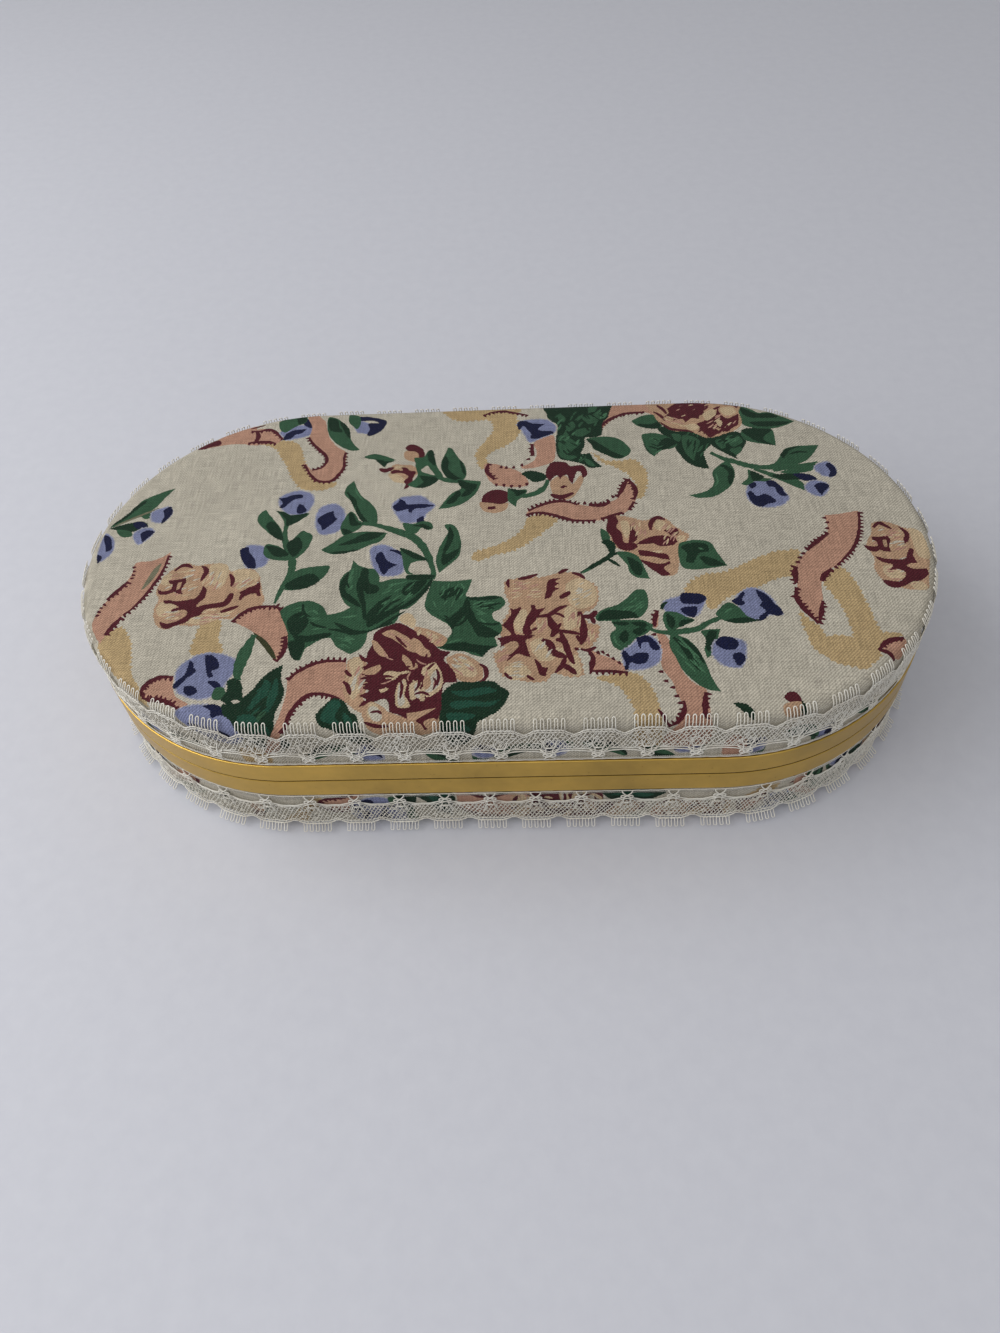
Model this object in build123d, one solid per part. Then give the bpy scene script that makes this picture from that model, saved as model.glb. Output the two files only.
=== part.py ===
"""Hinged keepsake case with round ends, covered in printed cotton and lace.

Two stiff pans meet at brass rims. Each pan is wrapped in cloth, trimmed with a lace band and
lined inside. Two small butt hinges join the rims at the back, and a sprung bead on the guide lip
holds the lid shut. Millimetres, +Z up, +X along the case, the front faces -Y. The origin is the
middle of the underside.

Every ring or pan follows one line, the straight spine between the centres of the two round ends.
A "reach" is a distance out from that spine.
"""

import math
import os

from build123d import *

# Overall size, over the rims
length = 210.0
width = 110.0
overrun = 1.0  # how far a cut runs past what it cuts
half_turn = 180.0
on_end = (Align.CENTER, Align.CENTER, Align.MIN)
on_corner_edge = (Align.CENTER, Align.MIN, Align.MIN)

# Brass rims, U channels that open away from the seam
rim_height = 6.1
rim_inner_height = 4.6
rim_wall = 0.8
rim_edge_round = 0.3
seam_gap = 0.3
channel_floor_gap = 0.2

# Layers of each pan, from outside in
cover_cloth = 0.5
shell_wall = 1.5
lining_cloth = 0.4
wall_height = 14.6  # from a rim's edge to the flat of its pan
lid_edge_round = 2.5
base_edge_round = 1.5
lid_crown = 1.2
padding_thickness = 2.2
shell_edge_round = 1.0
shell_inside_round = 0.5
bottom_panel_thickness = 0.9
bottom_panel_inset = 1.0
bottom_panel_round = 0.3
lining_board_thickness = 1.0
lining_board_gap = 0.2
lining_pad_thickness = 2.5
lining_pad_round = 1.5
lining_pad_crown = 1.0

# Lace bands
lace_thickness = 0.4
lace_rim_gap = 0.1
lace_fold_angle = 64.0  # how far the lid's lace turns over the rounded edge, in degrees
lace_floor_gap = 0.3

# Guide lip inside the base rim
lip_thickness = 0.6
lip_clearance = 0.2  # to the lid's rim
lip_above = 2.6
lip_below = 3.6
lip_round = 0.2

# Butt hinges
hinge_length = 24.0
hinge_place_share = 0.52  # of the way from the middle to the end of the straight back
hinge_leaf = 0.8
leaf_edge_margin = 0.5
leaf_corner_round = 0.8
knuckle_radius = 1.5
knuckle_length = 10.0  # the lid's middle knuckle
knuckle_gap = 0.15
knuckle_clearance = 0.25  # around the other leaf's knuckle
hinge_standoff = 0.2
pin_radius = 0.7
pin_running_clearance = 0.05
pin_head_radius = 1.15
pin_head_height = 0.5
pin_head_round = 0.2
stop_angle = 105.0  # degrees that the lid opens
stop_clearance = 1.5  # degrees left between the dogs at that angle
dog_angle = 99.0
dog_length = 1.0

# Rivets
rivet_radius = 0.5
rivet_head_radius = 0.95
rivet_head_height = 0.45
rivet_spacing = 14.0

# Front catch, a spring strip with a bead that bears on the lid's rim
catch_width = 8.0
catch_strip = 0.4
catch_standoff = 0.05
catch_foot_height = 1.9
catch_foot_margin = 0.3
catch_joint_gap = 0.1
catch_top_margin = 0.5
catch_rivet_spacing = 5.0
bead_radius = 1.1
bead_clearance = 0.05
bead_hole_clearance = 0.2
bead_top_margin = 1.9

# Reaches of the layers
spine_half = (length - width) / 2
rim_reach = width / 2
cover_reach = rim_reach - rim_wall
shell_reach = cover_reach - cover_cloth
lining_reach = shell_reach - shell_wall
channel_reach = lining_reach - lining_cloth
lid_leg_reach = channel_reach - rim_wall
lip_reach = lid_leg_reach - lip_clearance
lip_inner_reach = lip_reach - lip_thickness

# Heights
base_crest = bottom_panel_thickness
base_mouth = base_crest + wall_height + rim_height
lid_mouth = base_mouth + seam_gap
lid_crest = lid_mouth + rim_height + wall_height
seam = (base_mouth + lid_mouth) / 2


def face_of(*edges):
    """A face in the plane of reach and height, stood up so that height runs along Z."""
    return Plane.XZ * make_face([*edges])


def polygon(*points):
    return face_of(*Polyline(*points, close=True).edges())


def racetrack(profile):
    """Carries a profile of reach and height all round the spine."""
    facing_front = Rot(0, 0, -90)
    straight = extrude(Pos(-spine_half, 0, 0) * facing_front * profile, 2 * spine_half, dir=(1, 0, 0))
    half_ring = straight + Pos(spine_half, 0, 0) * facing_front * revolve(profile, Axis.Z, half_turn)
    ring = half_ring + Rot(0, 0, half_turn) * half_ring
    return ring.clean()


def band(inner, outer, low, high):
    return racetrack(polygon((inner, low), (outer, low), (outer, high), (inner, high)))


def crown_arc(reach, edge_height, rise):
    """The arc from the edge of a crowned face up to the spine, level at the spine."""
    if not rise:
        return Line((reach, edge_height), (0, edge_height))
    radius = (reach**2 + rise**2) / (2 * rise)
    half_drop = radius - math.copysign(math.sqrt(radius**2 - (reach / 2) ** 2), radius)
    top = edge_height + rise
    return ThreePointArc((reach, edge_height), (reach / 2, top - half_drop), (0, top))


def pan(reach, mouth, crest, edge_round, crown=0.0):
    """A solid pan body. Its crest is its closed face, above or below its mouth."""
    way = math.copysign(1, crest - mouth)
    turn_low = crest - way * edge_round
    corner = edge_round * (1 - math.sqrt(0.5))
    on_corner = (reach - corner, crest - way * corner)
    return racetrack(
        face_of(
            Line((0, mouth), (reach, mouth)),
            Line((reach, mouth), (reach, turn_low)),
            ThreePointArc((reach, turn_low), on_corner, (reach - edge_round, crest)),
            crown_arc(reach - edge_round, crest, way * crown),
            Line((0, crest + way * crown), (0, mouth)),
        )
    )


def along_y(radius, height, x, y, z):
    """A rod that starts at y and runs towards +Y."""
    return Pos(x, y, z) * Rot(-90, 0, 0) * Cylinder(radius, height, align=on_end)


def along_x(radius, low_x, high_x, y, z):
    """A rod that lies along X."""
    rod = Cylinder(radius, high_x - low_x, align=on_end)
    return Pos(low_x, y, z) * Rot(0, 90, 0) * rod


class Half:
    """What differs between the base and the lid. way points from the seam towards the crest."""

    def __init__(self, name, way, mouth, crest, edge_round, crown, padding):
        self.name = name
        self.way = way
        self.mouth = mouth
        self.crest = crest
        self.edge_round = edge_round
        self.crown = crown
        self.padding = padding
        self.channel_floor = mouth + way * (rim_wall + channel_floor_gap)
        self.rim_edge = mouth + way * rim_height
        self.cloth_inside = crest - way * cover_cloth
        self.shell_crest = self.cloth_inside - way * padding
        self.shell_inside = self.shell_crest - way * shell_wall
        self.board_inside = self.shell_inside - way * lining_board_thickness
        self.pad_inside = self.board_inside - way * lining_pad_thickness


base = Half("base", -1, base_mouth, base_crest, base_edge_round, 0.0, 0.0)
lid = Half("lid", 1, lid_mouth, lid_crest, lid_edge_round, lid_crown, padding_thickness)
halves = (base, lid)


# Hinge places
hinge_centre = spine_half * hinge_place_share
axis_y = rim_reach + hinge_standoff + knuckle_radius
axis_z = seam
leaf_height = rim_height + seam_gap / 2 - leaf_edge_margin
rivet_drop = (leaf_height + knuckle_radius) / 2  # midway between the barrel and the leaf's far edge
rivet_places = [side * hinge_centre + end * rivet_spacing / 2 for side in (-1, 1) for end in (-1, 1)]


def rivet_height(half):
    return seam + half.way * rivet_drop


# Catch places
lip_low = base_mouth - lip_below
lip_high = lid_mouth + lip_above
foot_low = lip_low + catch_foot_margin
foot_high = foot_low + catch_foot_height
catch_rivet_height = (foot_low + foot_high) / 2
tongue_low = foot_high + catch_joint_gap
tongue_high = lip_high - catch_top_margin
bead_height = lip_high - bead_top_margin
catch_rivet_places = [side * catch_rivet_spacing / 2 for side in (-1, 1)]
strip_front = -(lip_inner_reach - catch_standoff)


def rim(half):
    """Brass U channel. The base's inner leg is thicker by the lip's clearance, to seat the lip."""
    leg_reach = lip_reach if half is base else lid_leg_reach
    floor = half.mouth + half.way * rim_wall
    inner_top = half.mouth + half.way * rim_inner_height
    profile = polygon(
        (leg_reach, half.mouth),
        (rim_reach, half.mouth),
        (rim_reach, half.rim_edge),
        (cover_reach, half.rim_edge),
        (cover_reach, floor),
        (channel_reach, floor),
        (channel_reach, inner_top),
        (leg_reach, inner_top),
    )
    ring = racetrack(profile)
    outer = ring.edges().filter_by(lambda e: outermost(e, half))
    ring = fillet(outer, rim_edge_round)
    for x in rivet_places:
        ring -= along_y(rivet_radius, rim_wall + 2 * overrun, x, cover_reach - overrun, rivet_height(half))
    if half is base:
        for x in catch_rivet_places:
            depth = channel_reach - lip_reach + 2 * overrun
            ring -= along_y(rivet_radius, depth, x, -channel_reach - overrun, catch_rivet_height)
    return ring


def outermost(edge, half):
    """True for the two edges that bound a rim's outer face."""
    box = edge.bounding_box()
    level = box.max.Z - box.min.Z < rim_wall / 2
    at_end = min(abs(box.min.Z - half.mouth), abs(box.min.Z - half.rim_edge)) < rim_wall / 2
    x_out = max(abs(box.min.X), abs(box.max.X))
    y_out = max(abs(box.min.Y), abs(box.max.Y))
    outside = max(y_out - rim_reach, x_out - spine_half - rim_reach) > -rim_wall / 2
    return level and at_end and outside


def cover(half):
    """Printed cotton, glued over the pan and tucked into the rim's channel."""
    inside_mouth = half.channel_floor - half.way * overrun
    outside = pan(cover_reach, half.channel_floor, half.crest, half.edge_round, half.crown)
    inside = pan(shell_reach, inside_mouth, half.cloth_inside, half.edge_round - cover_cloth, half.crown)
    return outside - inside


def padding(half):
    """Wadding between the shell and the cloth."""
    return pan(shell_reach, half.shell_crest, half.cloth_inside, half.edge_round - cover_cloth, half.crown)


def shell(half):
    """The stiff pan that carries everything else."""
    edge = base_edge_round - cover_cloth if half is base else shell_edge_round
    outside = pan(shell_reach, half.channel_floor, half.shell_crest, edge)
    inside_mouth = half.channel_floor - half.way * overrun
    return outside - pan(lining_reach, inside_mouth, half.shell_inside, shell_inside_round)


def lining_wall(half):
    """A strip of lining round the wall, held by the rim's inner leg."""
    outside = pan(lining_reach, half.channel_floor, half.shell_inside, shell_inside_round)
    inner_end = half.board_inside + half.way * lining_board_thickness
    core_mouth = half.channel_floor - half.way * overrun
    return outside - racetrack(
        polygon(
            (0, core_mouth), (channel_reach, core_mouth), (channel_reach, inner_end + half.way * overrun),
            (0, inner_end + half.way * overrun),
        )
    )


def lining_board(half):
    """A stiff board under the lining's pad."""
    reach = channel_reach - lining_board_gap
    return band(0, reach, *sorted((half.shell_inside, half.board_inside)))


def lining_pad(half):
    """A soft pad on the lining's board, crowned towards the inside of the case."""
    return pan(channel_reach, half.board_inside, half.pad_inside, lining_pad_round, lining_pad_crown)


def lace(half):
    """The band that the lace fills. The lid's turns over the edge, the base's hangs straight."""
    low = half.rim_edge + half.way * lace_rim_gap
    inner = cover_reach
    outer = cover_reach + lace_thickness
    if half is base:
        return band(inner, outer, lace_floor_gap, low)
    centre = cover_reach - half.edge_round
    turn_height = half.crest - half.edge_round
    fold = math.radians(lace_fold_angle)

    def on_turn(radius, angle):
        return (centre + radius * math.cos(angle), turn_height + radius * math.sin(angle))

    near = half.edge_round
    far = near + lace_thickness
    return racetrack(
        face_of(
            Line((inner, low), (outer, low)),
            Line((outer, low), (outer, turn_height)),
            ThreePointArc(on_turn(far, 0), on_turn(far, fold / 2), on_turn(far, fold)),
            Line(on_turn(far, fold), on_turn(near, fold)),
            ThreePointArc(on_turn(near, fold), on_turn(near, fold / 2), on_turn(near, 0)),
            Line((inner, turn_height), (inner, low)),
        )
    )


def bottom_panel():
    """A covered board that hides the cloth's edges and rests on the table."""
    return pan(cover_reach - bottom_panel_inset, bottom_panel_thickness, 0, bottom_panel_round)


def guide_lip():
    """A band inside the base rim that stands up into the lid and lines the halves up."""
    ring = band(lip_inner_reach, lip_reach, lip_low, lip_high)
    top = ring.edges().filter_by(lambda e: abs(e.center().Z - lip_high) < lip_round / 2)
    ring = fillet(top, lip_round)
    depth = lip_thickness + 2 * overrun
    for x in catch_rivet_places:
        ring -= along_y(rivet_radius, depth, x, -lip_reach - overrun, catch_rivet_height)
    return ring - along_y(bead_radius + bead_hole_clearance, depth, 0, -lip_reach - overrun, bead_height)


def wedge(low_x, high_x, start, sweep):
    """A sector about the hinge axis. Angles run from the outside up to the top, in degrees."""
    reach = knuckle_radius + overrun
    turns = [math.radians(start + sweep * i / 8) for i in range(9)]
    rim_points = [(reach * math.cos(a), reach * math.sin(a)) for a in turns]
    # Plane.YZ's local axes are Y and Z, and it extrudes along X.
    sector = Plane.YZ * make_face(Polyline((0, 0), *rim_points, close=True).edges())
    return Pos(low_x, axis_y, axis_z) * extrude(sector, high_x - low_x, dir=(1, 0, 0))


def leaf(half, centre):
    """One leaf of a hinge with its knuckles, its rivet holes and its stop."""
    far_edge = seam + half.way * leaf_height
    low, high = sorted((half.mouth, far_edge))
    plate = Box(hinge_length, hinge_leaf, high - low, align=on_corner_edge)
    plate = Pos(centre, rim_reach, low) * plate
    corners = plate.edges().filter_by(Axis.Y)
    far_corners = corners.filter_by(lambda e: abs(e.center().Z - far_edge) < hinge_leaf / 2)
    plate = fillet(far_corners, leaf_corner_round)

    middle = (centre - knuckle_length / 2, centre + knuckle_length / 2)
    ends = [
        (centre - hinge_length / 2, middle[0] - knuckle_gap),
        (middle[1] + knuckle_gap, centre + hinge_length / 2),
    ]
    own, others = (ends, [middle]) if half is base else ([middle], ends)
    for low_x, high_x in others:
        notch_low = seam - overrun if half.way > 0 else seam - knuckle_radius - knuckle_clearance
        notch_high = seam + overrun if half.way < 0 else seam + knuckle_radius + knuckle_clearance
        notch = Box(
            high_x - low_x + 2 * knuckle_gap,
            hinge_leaf + 2 * overrun,
            notch_high - notch_low,
            align=on_corner_edge,
        )
        plate -= Pos((low_x + high_x) / 2, rim_reach - overrun, notch_low) * notch

    bore = pin_radius if half is base else pin_radius + pin_running_clearance
    made = plate
    for low_x, high_x in own:
        made += along_x(knuckle_radius, low_x, high_x, axis_y, axis_z)
    dog_start = half_turn - stop_clearance - dog_angle
    for side, face_x in ((-1, middle[0]), (1, middle[1])):
        if half is lid:
            reach_x = sorted((face_x, face_x + side * dog_length))
            made += along_x(knuckle_radius, *reach_x, axis_y, axis_z) & wedge(*reach_x, dog_start, dog_angle)
        else:
            reach_x = sorted((face_x, face_x + side * (dog_length + knuckle_gap)))
            start = dog_start - stop_angle - stop_clearance
            free = dog_angle + stop_angle + 2 * stop_clearance
            made -= along_x(knuckle_radius, *reach_x, axis_y, axis_z) & wedge(*reach_x, start, free)
    made -= along_x(bore, centre - hinge_length, centre + hinge_length, axis_y, axis_z)
    for x in rivet_places:
        made -= along_y(rivet_radius, hinge_leaf + 2 * overrun, x, rim_reach - overrun, rivet_height(half))
    return made


def hinge_pin(centre):
    """The pin through one hinge, with a head at each end."""
    low_x, high_x = centre - hinge_length / 2, centre + hinge_length / 2
    pin = along_x(pin_radius, low_x, high_x, axis_y, axis_z)
    for start, end in ((low_x - pin_head_height, low_x), (high_x, high_x + pin_head_height)):
        head = along_x(pin_head_radius, start, end, axis_y, axis_z)
        outer_x = start if start < low_x else end
        outer_edge = head.edges().filter_by(lambda e: abs(e.center().X - outer_x) < pin_head_height / 4)
        pin += fillet(outer_edge, pin_head_round)
    return pin


def domed_rivet(x, seat_y, z, grip):
    """A rivet with its head proud of seat_y, towards +Y, and its shank running back through grip."""
    sphere = (rivet_head_radius**2 + rivet_head_height**2) / (2 * rivet_head_height)
    ball = Pos(x, seat_y + rivet_head_height - sphere, z) * Sphere(sphere)
    side = 2 * sphere + overrun
    keep = Pos(x, seat_y + side / 2, z) * Box(side, side, side)
    rivet = along_y(rivet_radius, grip, x, seat_y - grip, z) + (ball & keep)
    return rivet.solid()


def hinge_rivets(half):
    grip = rim_wall + hinge_leaf
    seat = rim_reach + hinge_leaf
    return Compound([domed_rivet(x, seat, rivet_height(half), grip) for x in rivet_places])


def catch_rivets():
    seat = strip_front + catch_strip
    grip = catch_strip + catch_standoff + lip_thickness + (channel_reach - lip_reach)
    return Compound([domed_rivet(x, seat, catch_rivet_height, grip) for x in catch_rivet_places])


def catch_foot():
    """The riveted end of the catch's spring strip, with a pad that seats it on the lip."""
    depth = catch_strip + catch_standoff
    foot = Box(catch_width, depth, foot_high - foot_low, align=on_corner_edge)
    foot = Pos(0, -lip_inner_reach, foot_low) * foot
    for x in catch_rivet_places:
        foot -= along_y(rivet_radius, depth + 2 * overrun, x, -lip_inner_reach - overrun, catch_rivet_height)
    return foot


def catch_tongue():
    """The free end of the strip. Its bead reaches through the lip to the lid's rim."""
    tall = tongue_high - tongue_low
    strip = Box(catch_width, catch_strip, tall, align=on_corner_edge)
    strip = Pos(0, strip_front, tongue_low) * strip
    bead_front = -(lid_leg_reach - bead_clearance)
    ball = Pos(0, bead_front + bead_radius, bead_height) * Sphere(bead_radius)
    side = 4 * bead_radius
    keep = Pos(0, strip_front + catch_strip / 2 - side / 2, bead_height) * Box(side, side, side)
    return strip + (ball & keep)


def write(name, shape):
    export_step(shape, os.path.join("parts", name + ".step"))


def main():
    os.makedirs("parts", exist_ok=True)
    for half in halves:
        write(half.name + "_shell", shell(half))
        write(half.name + "_cover", cover(half))
        write(half.name + "_lace", lace(half))
        write(half.name + "_rim", rim(half))
        write(half.name + "_lining_wall", lining_wall(half))
        write(half.name + "_lining_board", lining_board(half))
        write(half.name + "_lining_pad", lining_pad(half))
        write(half.name + "_hinge_rivets", hinge_rivets(half))
        for side, label in ((-1, "left"), (1, "right")):
            write(f"hinge_{label}_{half.name}_leaf", leaf(half, side * hinge_centre))
    for side, label in ((-1, "left"), (1, "right")):
        write(f"hinge_{label}_pin", hinge_pin(side * hinge_centre))
    write("lid_padding", padding(lid))
    write("base_bottom_panel", bottom_panel())
    write("base_guide_lip", guide_lip())
    write("catch_foot", catch_foot())
    write("catch_tongue", catch_tongue())
    write("catch_rivets", catch_rivets())


main()
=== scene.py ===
"""Looks for the cloth-covered keepsake case: printed cotton, lace, brass and satin.

The frame is in metres. The cloth and lace are worked out in millimetres and scaled once, as
each mesh is made. "Reach" is a distance out from the spine, the straight line between the
centres of the round ends.
"""

import math
import random

import bpy
import numpy as np
from mathutils import Matrix, Vector, noise
from mathutils.geometry import delaunay_2d_cdt


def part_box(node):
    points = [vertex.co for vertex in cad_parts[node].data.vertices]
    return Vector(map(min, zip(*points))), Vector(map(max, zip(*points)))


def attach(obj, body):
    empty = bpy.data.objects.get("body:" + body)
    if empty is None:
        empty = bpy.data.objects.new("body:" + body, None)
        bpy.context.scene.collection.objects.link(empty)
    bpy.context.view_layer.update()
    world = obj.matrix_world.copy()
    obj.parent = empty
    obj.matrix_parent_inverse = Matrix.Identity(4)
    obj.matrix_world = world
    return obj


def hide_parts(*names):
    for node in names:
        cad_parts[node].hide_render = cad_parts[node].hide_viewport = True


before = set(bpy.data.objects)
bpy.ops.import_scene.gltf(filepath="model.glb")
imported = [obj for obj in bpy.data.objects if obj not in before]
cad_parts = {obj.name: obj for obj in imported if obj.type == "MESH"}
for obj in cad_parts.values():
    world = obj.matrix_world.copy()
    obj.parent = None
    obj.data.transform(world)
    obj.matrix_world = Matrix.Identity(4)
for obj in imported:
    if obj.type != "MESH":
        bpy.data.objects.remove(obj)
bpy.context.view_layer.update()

MM = 0.001
NOISE_SEED = 11  # without a seed, noise_vector's offsets come from the clock
noise.seed_set(NOISE_SEED)


def box_mm(node):
    low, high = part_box(node)
    return low / MM, high / MM


# Sizes read from the frame
RIM_REACH = box_mm("lid_rim")[1].y
SPINE = box_mm("lid_rim")[1].x - RIM_REACH
COVER_REACH = box_mm("lid_cover")[1].y
LID_RIM_TOP = box_mm("lid_rim")[1].z
BASE_RIM_LOW = box_mm("base_rim")[0].z
LID_TOP = box_mm("lid_cover")[1].z
BASE_LOW = box_mm("base_cover")[0].z

# Sizes that the boxes don't give, as the solids have them
LID_EDGE_ROUND = 2.5
LID_CROWN = 1.2
BASE_EDGE_ROUND = 1.5
TUCKED = 1.0  # how far the cloth goes into a rim

LID_FLAT = LID_TOP - LID_CROWN
LID_WALL = LID_FLAT - LID_EDGE_ROUND - LID_RIM_TOP
BASE_WALL = BASE_RIM_LOW - BASE_LOW - BASE_EDGE_ROUND


# Camera, from a fit of the case's outline
def make_camera():
    elevation = math.radians(51.82)
    azimuth = math.radians(4.17)
    roll = math.radians(-4.63)
    target = Vector((-2.43, -5.43, 0)) * MM
    distance = 276.5 * MM
    focal_px = 995.5
    image_height_px = 1333
    back = Vector(
        (
            math.sin(azimuth) * math.cos(elevation),
            -math.cos(azimuth) * math.cos(elevation),
            math.sin(elevation),
        )
    )
    level = (-back).cross(Vector((0, 0, 1))).normalized()
    upright = level.cross(-back)
    right = math.cos(roll) * level + math.sin(roll) * upright
    up = math.cos(roll) * upright - math.sin(roll) * level
    data = bpy.data.cameras.new("camera")
    data.sensor_width = 36
    data.lens = focal_px * data.sensor_width / image_height_px
    data.clip_start = 0.01
    camera = bpy.data.objects.new("camera", data)
    camera.matrix_world = (
        Matrix.Translation(target + back * distance) @ Matrix((right, up, back)).transposed().to_4x4()
    )
    bpy.context.scene.collection.objects.link(camera)
    bpy.context.scene.camera = camera


make_camera()
bpy.context.scene.view_settings.view_transform = "Standard"


# Colours, as sRGB
INKS = {
    "ground": (0.685, 0.66, 0.60),
    "tan": (0.655, 0.565, 0.415),
    "peach": (0.65, 0.50, 0.42),
    "petal": (0.645, 0.525, 0.42),
    "petal_light": (0.70, 0.62, 0.50),
    "blush": (0.635, 0.485, 0.425),
    "burgundy": (0.285, 0.09, 0.125),
    "green": (0.175, 0.305, 0.215),
    "green_light": (0.25, 0.40, 0.29),
    "green_dark": (0.062, 0.165, 0.105),
    "teal": (0.105, 0.265, 0.205),
    "sage": (0.42, 0.41, 0.33),
    "olive": (0.20, 0.21, 0.12),
    "lilac": (0.445, 0.465, 0.58),
    "lilac_light": (0.575, 0.575, 0.615),
    "navy": (0.05, 0.07, 0.195),
}


def linear(rgb):
    return tuple(c / 12.92 if c <= 0.04045 else ((c + 0.055) / 1.055) ** 2.4 for c in rgb)


# Shader helpers
class Nodes:
    """A short way to write a material's nodes."""

    def __init__(self, name):
        self.material = bpy.data.materials.new(name)
        self.material.use_nodes = True
        self.tree = self.material.node_tree
        self.shader = self.tree.nodes["Principled BSDF"]

    def add(self, kind, inputs=None, **settings):
        node = self.tree.nodes.new("ShaderNode" + kind)
        for key, value in settings.items():
            setattr(node, key, value)
        for key, value in (inputs or {}).items():
            self.join(value, node.inputs[key])
        return node

    def join(self, value, socket):
        if isinstance(value, bpy.types.NodeSocket):
            self.tree.links.new(value, socket)
        else:
            socket.default_value = value

    def set(self, **values):
        for key, value in values.items():
            self.join(value, self.shader.inputs[key.replace("_", " ")])

    def attribute(self, name):
        return self.add("Attribute", attribute_name=name)

    def stretched(self, vector, scale):
        return self.add("VectorMath", {0: vector, 1: scale}, operation="MULTIPLY").outputs[0]

    def noise(self, vector, scale, detail=2.0, roughness=0.5):
        inputs = {"Vector": vector, "Scale": scale, "Detail": detail, "Roughness": roughness}
        return self.add("TexNoise", inputs).outputs["Fac"]

    def math(self, operation, a, b=0.0, c=0.0):
        return self.add("Math", {0: a, 1: b, 2: c}, operation=operation).outputs[0]

    def spread(self, value, low, high, to_low=0.0, to_high=1.0):
        inputs = {"Value": value, "From Min": low, "From Max": high, "To Min": to_low, "To Max": to_high}
        return self.add("MapRange", inputs).outputs[0]

    def mix(self, factor, a, b, blend="MIX"):
        node = self.add("Mix", data_type="RGBA", blend_type=blend)
        self.join(factor, node.inputs["Factor"])
        self.join(a, node.inputs[6])
        self.join(b, node.inputs[7])
        return node.outputs[2]

    def bump(self, height, strength, distance):
        return self.add("Bump", {"Height": height, "Strength": strength, "Distance": distance}).outputs[0]


def rgba(rgb):
    return (*linear(rgb), 1.0)


THREAD_MM = 0.42  # pitch of the cotton's threads
LEAN = 0.6  # share of the weave that runs along one diagonal only
DRIFT_ALONG = 0.3  # how far the threads wander, in millimetres
DRIFT_ACROSS = -0.25
WEAVE_HEIGHT = 0.5
SLUB_HEIGHT = 1.4


def weave_height(n, cloth):
    """The cotton's weave and slubs, from the flat cloth's millimetres: a height, the slubs, the lattice.

    One diagonal has more weight, because the photo shows one. A true plain weave has no such lean.
    """
    turn = math.pi / THREAD_MM  # over one thread and under the next
    parts = n.add("SeparateXYZ", {0: cloth})
    drift = n.noise(cloth, 0.9, 2.0)
    along = n.math("MULTIPLY_ADD", drift, DRIFT_ALONG, parts.outputs[0])
    across = n.math("MULTIPLY_ADD", drift, DRIFT_ACROSS, parts.outputs[1])
    warp = n.math("SINE", n.math("MULTIPLY", along, turn))
    weft = n.math("SINE", n.math("MULTIPLY", across, turn))
    slant = n.math("COSINE", n.math("MULTIPLY", n.math("SUBTRACT", along, across), turn))
    plain = n.math("MULTIPLY", warp, weft)
    lattice = n.math("MULTIPLY_ADD", plain, 1 - LEAN, n.math("MULTIPLY", slant, LEAN))
    slub_warp = n.noise(n.stretched(cloth, (3.6, 0.16, 1.0)), 1.0, 2.0, 0.75)
    slub_weft = n.noise(n.stretched(cloth, (0.18, 3.9, 1.0)), 1.0, 2.0, 0.75)
    slubs = n.math("MULTIPLY", n.math("ADD", slub_warp, slub_weft), 0.5)
    height = n.math("MULTIPLY_ADD", lattice, WEAVE_HEIGHT, n.math("MULTIPLY", slubs, SLUB_HEIGHT))
    return height, slubs, lattice


def cotton_material(name, ink=None):
    """Woven cotton. The ink comes from the mesh's colours, or is one colour."""
    n = Nodes(name)
    cloth = n.attribute("cloth").outputs["Vector"]
    height, slubs, lattice = weave_height(n, cloth)
    colour = n.attribute("ink").outputs["Color"] if ink is None else rgba(ink)
    missed = n.spread(n.noise(cloth, 3.4, 3.0, 0.75), 0.52, 0.74, 0.0, 0.10)
    faded = n.mix(missed, colour, rgba(INKS["ground"]))
    threads = n.spread(slubs, 0.40, 0.60, 0.73, 1.22)
    # The weave's lattice also lightens and darkens the colour, by about a quarter either way. These are
    # painted highlights and shade of the threads, on top of the bump.
    weave = n.spread(lattice, -1.0, 1.0, 0.72, 1.24)
    soiled = n.spread(n.noise(cloth, 0.035, 2.0), 0.35, 0.65, 0.95, 1.03)
    shade = n.math("MULTIPLY", n.math("MULTIPLY", threads, weave), soiled)
    grey = n.add("CombineXYZ", {0: shade, 1: shade, 2: shade})
    n.set(
        Base_Color=n.mix(1.0, faded, grey.outputs[0], "MULTIPLY"),
        Roughness=0.9,
        Sheen_Weight=0.03,
        Sheen_Roughness=0.5,
        Specular_IOR_Level=0.12,
        Normal=n.bump(height, 0.6, 0.00016),
    )
    return n.material


def thread_material():
    """Off-white cotton thread of the lace, with a fine twist."""
    n = Nodes("lace_thread")
    where = n.add("TexCoord").outputs["Object"]
    fibre = n.noise(where, 9000.0, 2.0, 0.6)
    tone = n.noise(where, 160.0, 3.0, 0.6)
    pale = n.mix(n.spread(tone, 0.35, 0.65), rgba((0.86, 0.84, 0.79)), rgba((0.92, 0.91, 0.87)))
    n.set(
        Base_Color=n.mix(n.spread(fibre, 0.3, 0.7, 0.0, 0.22), pale, rgba((0.62, 0.58, 0.50))),
        Roughness=0.75,
        Sheen_Weight=0.15,
        Specular_IOR_Level=0.3,
        Normal=n.bump(fibre, 0.35, 0.00008),
    )
    return n.material


SEAM = 21.75  # height of the line where the rims meet
SEAM_SHADE = 0.28  # how far from it the metal is painted dark: painted shade in the gap between the rims


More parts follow.
